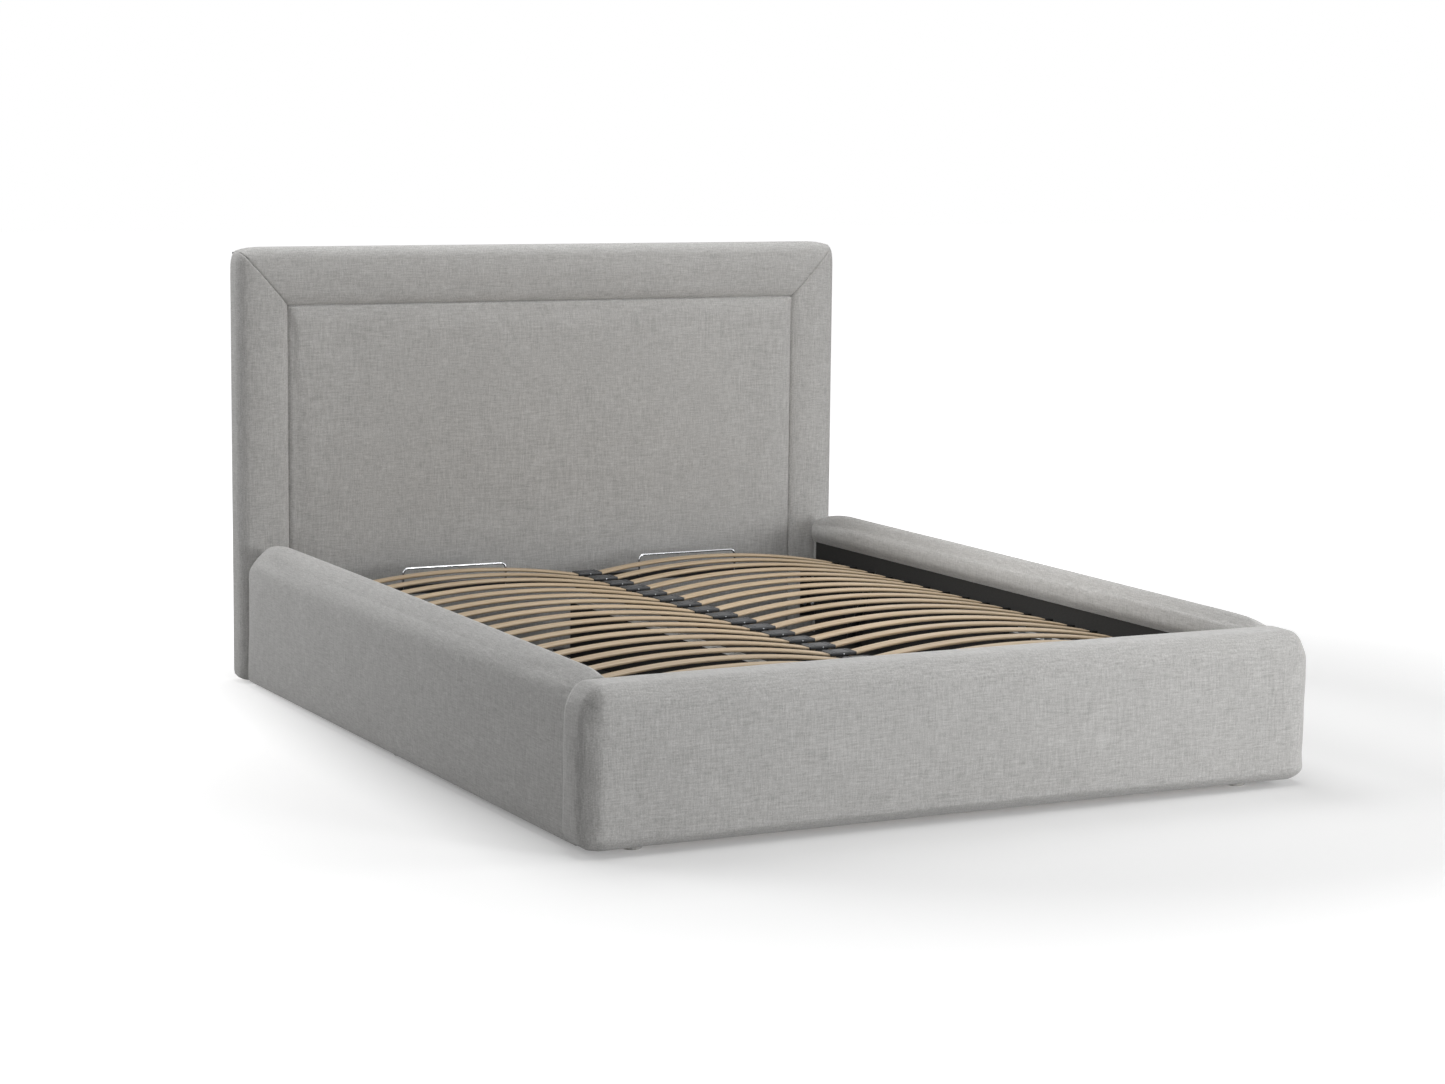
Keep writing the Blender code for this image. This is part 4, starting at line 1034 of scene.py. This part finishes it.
@dataclass
class Footboard:
    """Thick padded footboard with large round corners and soft edges."""

    half: float = 0.900
    back: float = -0.984
    front: float = -1.127
    base: float = 0.0127
    top: float = 0.3575
    corner: float = 0.052
    corner_height: float = 0.078
    bottom: float = 0.034
    front_round: float = 0.042
    back_round: float = 0.050
    crown_lo: Triple = (0.006, 0.009, 0.0)
    crown_hi: Triple = (0.006, 0.0, 0.004)
    base_held: float = 0.003
    back_held: float = 0.002

    def build(self) -> None:
        """Make the cover, stapled under the base and down the back."""
        cover = Pillow((-self.half, self.front, self.base), (self.half, self.back, self.top),
                       (self.corner, self.front_round, self.bottom),
                       (self.corner, self.back_round, self.corner_height),
                       self.crown_lo, self.crown_hi, arcs=6, flats=(76, 2, 10)).surface()
        _, y, z = cover.points.T
        held = (z < self.base + self.base_held) | (y > self.back - self.back_held)
        padded_piece("footboard_padding", settled(cover, held), 0.95, "footboard_cover")


# Slatted frame


@dataclass
class SlattedFrame:
    """Lifting frame: bowed slats in two columns, their holders and the side tubes."""

    rows: int = 18
    first: float = 0.808
    pitch: float = 0.0974
    inner: float = 0.018
    outer: float = 0.733
    width: float = 0.038
    thick: float = 0.006
    edge: float = 0.0028
    inner_top: float = 0.275         # the double holders sit a little higher than the cradles
    outer_top: float = 0.267
    crown: float = 0.0345
    holder_half: float = 0.034
    holder_width: float = 0.046
    holder_bottom: float = 0.2583
    holder_rim: float = 0.2725
    holder_top: float = 0.281
    holder_soft: float = 0.0025
    holder_crown: float = 0.0008
    holder_foot: tuple[float, float] = (0.022, 0.012)
    foot_soft: float = 0.001
    rib_places: tuple[float, ...] = (-0.027, -0.018, 0.018, 0.027)
    rib_half: float = 0.0012
    rib_soft: float = 0.0008
    rib_sink: float = 0.002          # how far the ribs stand in the cap
    rib_inset: float = 0.004         # how far they end before it does
    cradle: float = 0.720
    cradle_end: float = 0.753
    cradle_wall: float = 0.003
    cradle_soft: float = 0.0006
    cradle_step: float = 0.001       # from the cheeks to the floor, and to the slat's top
    cradle_sink: float = 0.0008      # how far the cradles stand in the side tube
    slat_gap: float = 0.0003
    tube_inner: float = 0.735
    tube_outer: float = 0.760
    tube_bottom: float = 0.234
    tube_top: float = 0.258
    tube_foot: float = -0.950
    tube_head: float = 0.931
    tube_round: float = 0.003
    seed: int = 7
    tone_spread: float = 0.045       # how much the slats' shades differ
    tone_range: tuple[float, float] = (0.9, 1.08)
    map_step: tuple[float, float] = (1.7, 0.31)

    def offsets(self) -> Array:
        """Work out the shift of every row k: y is first - pitch * k.

        Returns:
            One line of x, y, z for each row of slats.
        """
        shifts = np.zeros((self.rows, 3))
        shifts[:, 1] = self.first - self.pitch * np.arange(self.rows)
        return shifts

    def slats(self) -> Surface:
        """Make all the slats, each with a shade and a piece of the grain's map of its own.

        With s from 0 to 1 along x, the middle line is the straight line between the two end
        heights plus crown * 4 * s * (1 - s).  A rounded rectangle is carried along it, square
        to it.

        Returns:
            Their surfaces as one.
        """
        share = np.linspace(0.0, 1.0, 25)
        x = self.inner + (self.outer - self.inner) * share
        drop = self.inner_top - self.outer_top
        z = (self.inner_top - self.thick / 2 - drop * share
             + self.crown * 4 * share * (1 - share))
        slope = (self.crown * 4 * (1 - 2 * share) - drop) / (self.outer - self.inner)
        tilt = np.arctan(slope)[:, None]
        loop = rounded_loop(self.width, self.thick, self.edge, 3)
        y, up = loop.T
        sections = np.broadcast_arrays(x[:, None] - np.sin(tilt) * up, y,
                                       z[:, None] + np.cos(tilt) * up)
        one = lofted(np.stack(sections, axis=2))
        girth = np.append(0.0, np.linalg.norm(np.diff(loop, axis=0), axis=1).cumsum())
        along = np.append(0.0, np.hypot(np.diff(x), np.diff(z)).cumsum())
        uv = np.stack([np.repeat(along, len(loop)), np.tile(girth, len(x))], axis=1)
        tones = np.random.default_rng(self.seed).normal(1.0, self.tone_spread, 2 * self.rows)
        tones = np.clip(tones, *self.tone_range)
        slats = []
        for pick, tone in enumerate(tones):
            slat = (one.mirrored() if pick % 2 else one).moved(self.offsets()[pick // 2])
            slat.uv = uv + pick * np.array(self.map_step)
            slat.tone = np.full(len(slat.points), tone)
            slats.append(slat)
        return joined(slats)

    def centre_holders(self) -> Surface:
        """Make the double holders: a soft-edged cap on a foot, two ribs over each mouth.

        Returns:
            All of them as one surface.
        """
        half, deep = self.holder_half, self.holder_width / 2
        rim, top = self.holder_rim, self.holder_top
        soft = (self.holder_soft,) * 3
        cap = Pillow((-half, -deep, rim), (half, deep, top), soft, soft, (0.0,) * 3,
                     (0.0, 0.0, self.holder_crown), arcs=2, flats=(2, 2, 1)).surface()
        wide, long = self.holder_foot
        foot = soft_block((-wide, -long, self.holder_bottom),
                          (wide, long, rim + self.foot_soft), self.foot_soft)
        rib, end = self.rib_half, deep - self.rib_inset
        ribs = [soft_block((x - rib, -end, top - self.rib_sink), (x + rib, end, top + rib),
                           self.rib_soft) for x in self.rib_places]
        return repeated(joined([cap, foot, *ribs]), self.offsets())

    def holder_rivets(self) -> Surface:
        """Make the rivets in the front of the double holders: small domes.

        Returns:
            All of them as one surface.
        """
        dome = [(0.0018, -0.0010), (0.0018, 0.0002), (0.0014, 0.0007), (0.0006, 0.0010)]
        middle = (self.holder_rim + self.holder_top) / 2
        stud = turned(dome, (0.0, -self.holder_width / 2, middle), (0.0, -1.0, 0.0), 10)
        return repeated(stud, self.offsets())

    def end_holders(self) -> Surface:
        """Make the cradles of the outer slat ends: a floor, two cheeks and an end block.

        Returns:
            All of them as one surface.
        """
        deep, wall, soft = self.holder_width / 2, self.cradle_wall, self.cradle_soft
        inside = deep - self.cradle_step
        near, end = self.cradle, self.outer + self.slat_gap
        low, high = self.tube_top - self.cradle_sink, self.outer_top - self.cradle_step
        one = joined([
            soft_block((near, -inside, low), (end, inside, low + wall / 2), soft),
            soft_block((end, -deep, low), (self.cradle_end, deep, high), soft),
            soft_block((near, -deep, low), (end, -deep + wall, high), soft),
            soft_block((near, deep - wall, low), (end, deep, high), soft)])
        return repeated(joined([one, one.mirrored()]), self.offsets())

    def side_tube(self) -> Surface:
        """Make the right side tube: a rounded rectangle carried along y, ends capped.

        Returns:
            The closed surface.
        """
        inner, outer, low, high = self.tube_inner, self.tube_outer, self.tube_bottom, self.tube_top
        across, up = rounded_loop(outer - inner, high - low, self.tube_round, 3).T
        y = np.linspace(self.tube_foot, self.tube_head, 9)[:, None]
        sections = np.broadcast_arrays(across + (inner + outer) / 2, y, up + (low + high) / 2)
        return lofted(np.stack(sections, axis=2))

    def build(self) -> None:
        """Make the slats, the holders and the side tubes."""
        names = ["slat_row_%02d" % number for number in range(1, self.rows + 1)]
        slats = make_piece("sprung_slats", self.slats(), Finish.BIRCH, FRAME_BODY)
        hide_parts(*names)
        holders = make_piece("double_slat_holders", self.centre_holders(), Finish.PLASTIC,
                             FRAME_BODY)
        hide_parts(*names)
        make_piece("holder_rivets", self.holder_rivets(), Finish.ZINC, FRAME_BODY)
        make_piece("end_slat_holders", self.end_holders(), Finish.RUBBER, FRAME_BODY)
        for side in Side:
            tube = self.side_tube() if side is Side.RIGHT else self.side_tube().mirrored()
            piece = make_piece("side_tube_" + side.label, tube, Finish.POWDER, FRAME_BODY)
            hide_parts("frame_tube_" + side.label)


@dataclass
class MattressStop:
    """Bent wire that keeps the mattress from sliding: a round wire along a bent route."""

    side: Side
    centre: float = 0.341
    width: float = 0.290
    y: float = 0.8977
    bottom: float = 0.246
    top: float = 0.306
    wire: float = 0.006
    bend: float = 0.014

    def build(self) -> None:
        """Make the wire: up, a quarter circle, across, a quarter circle and down."""
        half, high = self.width / 2, self.top - self.wire / 2
        angle = np.linspace(0.0, math.pi / 2, 9)
        left = np.stack([-half + self.bend * (1 - np.cos(angle)),
                         high - self.bend * (1 - np.sin(angle))], axis=1)
        right = left[::-1] * np.array([-1.0, 1.0])
        ends = np.array([[-half, self.bottom], [half, self.bottom]])
        path = np.concatenate([ends[:1], left, right, ends[1:]])
        tangent = np.gradient(path, axis=0)
        tangent /= np.linalg.norm(tangent, axis=1, keepdims=True)
        normal = np.stack([-tangent[:, 1], tangent[:, 0]], axis=1)
        turn = np.linspace(0.0, 2 * math.pi, 12, endpoint=False)
        radius = self.wire / 2
        shift = self.side.value * self.centre
        x = shift + path[:, :1] + radius * np.cos(turn) * normal[:, :1]
        z = path[:, 1:] + radius * np.cos(turn) * normal[:, 1:]
        y = np.broadcast_to(self.y + radius * np.sin(turn), x.shape)
        piece = make_piece("mattress_stop_wire_" + self.side.label,
                           lofted(np.stack([x, y, z], axis=2)), Finish.CHROME, FRAME_BODY)
        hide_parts("mattress_stop_" + self.side.label)


# Storage space


@dataclass
class StorageSpace:
    """What stands in the box: the divider's pale edge, bolts and the foam on the rests."""

    divider_half: float = 0.008
    divider_top: float = 0.197
    divider_foot: float = -0.948
    divider_head: float = 0.896
    strip_height: float = 0.010
    strip_skin: float = 0.001        # the strip's thickness over the board
    strip_under: Triple = (0.0008, 0.0008, 0.0008)
    strip_over: Triple = (0.0008, 0.0008, 0.002)
    bracket_x: float = 0.8067
    bracket_wall: float = 0.003
    bracket_leg: float = 0.033
    bolt_heights: tuple[float, ...] = (0.115, 0.195)
    bolt_seat: float = 0.0003
    head_face: float = 1.046
    foot_face: float = -0.984
    shelf: tuple[Triple, Triple] = ((0.737, -0.313, 0.2118), (0.776, -0.117, 0.2136))
    foam_soft: float = 0.0007

    def bolts(self) -> Surface:
        """Make the corner brackets' bolts: turned domes, two on each leg.

        Returns:
            All of them as one surface.
        """
        dome = [(0.0070, -0.0005), (0.0072, 0.0008), (0.0062, 0.0024), (0.0040, 0.0034),
                (0.0032, 0.0034), (0.0030, 0.0020)]
        wall, reach = self.bracket_wall, self.bracket_wall + self.bracket_leg / 2
        bolts = []
        for sign in (-1, 1):
            for face, inward in ((self.head_face, -1.0), (self.foot_face, 1.0)):
                for height in self.bolt_heights:
                    on_rail = (sign * (self.bracket_x - wall), face + inward * reach, height)
                    on_end = (sign * (self.bracket_x - reach),
                              face + inward * (wall + self.bolt_seat), height)
                    bolts.append(turned(dome, on_rail, (-sign, 0.0, 0.0), 14))
                    bolts.append(turned(dome, on_end, (0.0, inward, 0.0), 14))
        return joined(bolts)

    def build(self) -> None:
        """Make the foam strips, the edge strip and the bolts."""
        soft = (self.foam_soft,) * 3
        foam = Pillow(*self.shelf, soft, soft, arcs=1, flats=(2, 4, 1)).surface()
        make_piece("rest_foam_strips", joined([foam, foam.mirrored()]), Finish.FOAM, BED_BODY)
        wide, skin = self.divider_half + self.strip_skin, self.strip_skin
        strip = Pillow((-wide, self.divider_foot, self.divider_top - self.strip_height),
                       (wide, self.divider_head, self.divider_top + skin),
                       self.strip_under, self.strip_over, arcs=2, flats=(1, 8, 1)).surface()
        make_piece("divider_edge_strip", strip, Finish.EDGE_STRIP, BED_BODY)
        piece = make_piece("bracket_bolts", self.bolts(), Finish.ZINC, BED_BODY)


CARRIED = {
    Finish.CHIP_BOARD: ("headboard_core", "rail_core", "footboard_core", "floor_bearer"),
    Finish.FLOOR_BOARD: ("storage_floor", "centre_divider"),
    Finish.BACK_CLOTH: ("headboard_back",),
    Finish.LINING: ("lining",),
    Finish.POWDER: ("corner_bracket", "lift_base_plate", "hinge_plate", "frame_tube",
                    "gas_cylinder"),
    Finish.CHROME: ("gas_rod",),
    Finish.ZINC: ("rest_bracket", "hinge_pin"),
}


def dress_carried_parts() -> None:
    """Give every CAD node that stays its finish, by the start of its name."""
    for name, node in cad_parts.items():
        for finish, starts in CARRIED.items():
            if name.startswith(starts):
                for place in node.material_slots:
                    place.material = made(finish)
    LOG.info("carried-over nodes dressed: %d", len(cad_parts))


# Studio


@dataclass(frozen=True)
class Lamp:
    """A square area lamp that points at a target, with a honeycomb where it is narrow."""

    name: str
    place: Triple
    target: Triple
    size: float
    power: float
    spread: float = 180.0        # the full angle of the beam in degrees

    def build(self) -> None:
        """Make the lamp: its -Z axis looks along target - place."""
        data = bpy.data.lights.new(self.name, "AREA")
        data.shape = "SQUARE"
        data.size = self.size
        data.energy = self.power
        data.spread = math.radians(self.spread)
        back = np.array(self.place) - np.array(self.target)
        back /= np.linalg.norm(back)
        lamp = linked(self.name, data)
        lamp.matrix_world = facing(back, np.array([0.0, 0.0, 1.0]), self.place)


def facing(back: Array, upward: Array, place: Triple) -> Matrix:
    """Work out the place and turn of a camera or a lamp.

    Args:
        back: the direction of its +Z axis, of length one.
        upward: a direction near its +Y axis.
        place: where it stands.

    Returns:
        The matrix.
    """
    right = np.cross(upward, back)
    right /= np.linalg.norm(right)
    over = np.cross(back, right)
    turn = Matrix(np.stack([right, over, back], axis=1).tolist()).to_4x4()
    return Matrix.Translation(place) @ turn


@dataclass
class Studio:
    """Pale floor, soft light, white surroundings and the camera of the photograph."""

    eye: Triple = (-3.5264, -6.8031, 1.4962)
    yaw: float = 27.3025
    pitch: float = 7.698
    roll: float = 0.630
    lens: float = 79.64
    sensor: float = 36.0
    ambient: float = 0.05
    floor_half: float = 30.0
    floor_lit: float = 0.55          # what the light on the bed finds
    floor_seen: float = 0.80         # what the camera sees
    # painted light: the floor glows for the camera, weakest near the bed and white further off, so
    # the floor round the bed is darker partly from real shadow and partly from painted shade
    glow_centre: Triple = (0.5, -0.5, 0.0)
    glow_reach: tuple[float, float] = (1.35, 3.4)    # metres over which the floor turns white
    glow_low: float = 0.22
    lamps: tuple[Lamp, ...] = (
        Lamp("front_light", (1.6, -4.6, 0.9), (0.4, -1.0, 0.3), 1.2, 77.0),
        Lamp("side_light", (4.8, -2.4, 1.8), (0.2, -0.2, 0.4), 1.8, 72.0),
        Lamp("top_light", (0.0, 1.0, 3.6), (0.0, 0.0, 0.0), 2.6, 60.0),
        Lamp("front_top_light", (0.0, -1.8, 4.0), (0.0, -0.6, 0.0), 3.0, 40.0),
        Lamp("back_light", (-3.2, 2.6, 2.4), (0.0, 0.0, 0.2), 2.0, 58.0),
        Lamp("left_light", (-4.5, -4.0, 1.0), (-0.6, -0.8, 0.2), 1.2, 18.0),
        Lamp("rail_light", (-0.9, -0.1, 1.7), (0.86, -0.1, 0.32), 0.7, 3.2, 75.0),
    )

    def build(self) -> None:
        """Make the floor, the world, the lamps and the camera."""
        self.make_floor()
        self.make_world()
        for lamp in self.lamps:
            lamp.build()
        self.make_camera()

    def white_rays(self, tree: Tree) -> Socket:
        """Add what tells the seen surroundings from those that light the bed.

        Args:
            tree: the floor's or the world's node tree.

        Returns:
            One for camera, glossy and transmission rays, and zero for all the others.
        """
        path = add_node(tree, "LightPath")
        seen = path.outputs["Is Camera Ray"]
        for ray in ("Is Glossy Ray", "Is Transmission Ray"):
            seen = add_node(tree, "Math", {0: seen, 1: path.outputs[ray]},
                            operation="MAXIMUM").outputs[0]
        return seen

    def make_floor(self) -> None:
        """Make a pale floor: the camera sees it near white, with the bed's real shadow on it and a
        painted glow that is weakest near the bed.
        """
        half = self.floor_half
        mesh = bpy.data.meshes.new("studio_floor")
        mesh.from_pydata([(-half, -half, 0.0), (half, -half, 0.0), (half, half, 0.0),
                          (-half, half, 0.0)], [], [(0, 1, 2, 3)])
        floor = linked("studio_floor", mesh)
        material = bpy.data.materials.new("pale_floor_paint")
        material.use_nodes = True
        tree = material.node_tree
        tree.nodes.clear()
        plain, pale = (add_node(tree, "BsdfDiffuse", {"Color": (grey, grey, grey, 1.0)})
                       for grey in (self.floor_lit, self.floor_seen))
        place = add_node(tree, "TexCoord")
        # painted glow, seen by the camera alone: weak near the bed, so the floor there stays
        # darker as painted shade on top of the real shadow, and white far off
        away = add_node(tree, "VectorMath", {0: place.outputs["Object"], 1: self.glow_centre},
                        operation="DISTANCE")
        rise = add_node(tree, "MapRange", {0: away.outputs["Value"], 1: self.glow_reach[0],
                                           2: self.glow_reach[1], 3: self.glow_low, 4: 1.0})
        glow = add_node(tree, "Emission", {"Color": (1.0, 1.0, 1.0, 1.0),
                                           "Strength": rise.outputs[0]})
        seen = add_node(tree, "AddShader", {0: pale.outputs[0], 1: glow.outputs[0]})
        mixed = add_node(tree, "MixShader", {0: self.white_rays(tree), 1: plain.outputs[0],
                                             2: seen.outputs[0]})
        add_node(tree, "OutputMaterial", {"Surface": mixed.outputs[0]})
        mesh.materials.append(material)

    def make_world(self) -> None:
        """Make the surroundings: white to the camera, and soft even light on the bed."""
        world = bpy.data.worlds.new("studio")
        bpy.context.scene.world = world
        world.use_nodes = True
        tree = world.node_tree
        tree.nodes.clear()
        soft = add_node(tree, "Background", {"Color": (1.0, 1.0, 1.0, 1.0),
                                             "Strength": self.ambient})
        white = add_node(tree, "Background", {"Color": (1.0, 1.0, 1.0, 1.0), "Strength": 1.0})
        mixed = add_node(tree, "MixShader", {0: self.white_rays(tree), 1: soft.outputs[0],
                                             2: white.outputs[0]})
        add_node(tree, "OutputWorld", {"Surface": mixed.outputs[0]})

    def make_camera(self) -> None:
        """Make the camera from its turn, its tilt and its roll.

        Forward is (sin yaw * cos pitch, cos yaw * cos pitch, -sin pitch), and the picture is
        rolled about it.
        """
        yaw, pitch, roll = (math.radians(value) for value in (self.yaw, self.pitch, self.roll))
        forward = np.array([math.sin(yaw) * math.cos(pitch), math.cos(yaw) * math.cos(pitch),
                            -math.sin(pitch)])
        right = np.array([math.cos(yaw), -math.sin(yaw), 0.0])
        over = np.cross(right, forward)
        upward = -math.sin(roll) * right + math.cos(roll) * over
        data = bpy.data.cameras.new("photo_camera")
        data.lens = self.lens
        data.sensor_width = self.sensor
        camera = linked("photo_camera", data)
        camera.matrix_world = facing(-forward, upward, self.eye)
        bpy.context.scene.camera = camera


def main() -> None:
    """Build the bed from its sub-assemblies in order."""
    logging.basicConfig(level=logging.INFO, format="%(message)s")
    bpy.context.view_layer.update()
    scene = bpy.context.scene
    scene.view_settings.view_transform = "Standard"
    Studio().build()
    dress_carried_parts()
    Headboard().build()
    for side in Side:
        SideRail(side).build()
    Footboard().build()
    SlattedFrame().build()
    for side in Side:
        MattressStop(side).build()
    StorageSpace().build()


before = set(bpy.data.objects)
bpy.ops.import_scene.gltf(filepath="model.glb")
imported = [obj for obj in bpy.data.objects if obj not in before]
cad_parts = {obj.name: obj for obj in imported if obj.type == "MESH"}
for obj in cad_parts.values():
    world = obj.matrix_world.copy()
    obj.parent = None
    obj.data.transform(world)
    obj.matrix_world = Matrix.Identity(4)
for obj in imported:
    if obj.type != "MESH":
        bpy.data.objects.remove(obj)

if __name__ == "__main__":
    main()
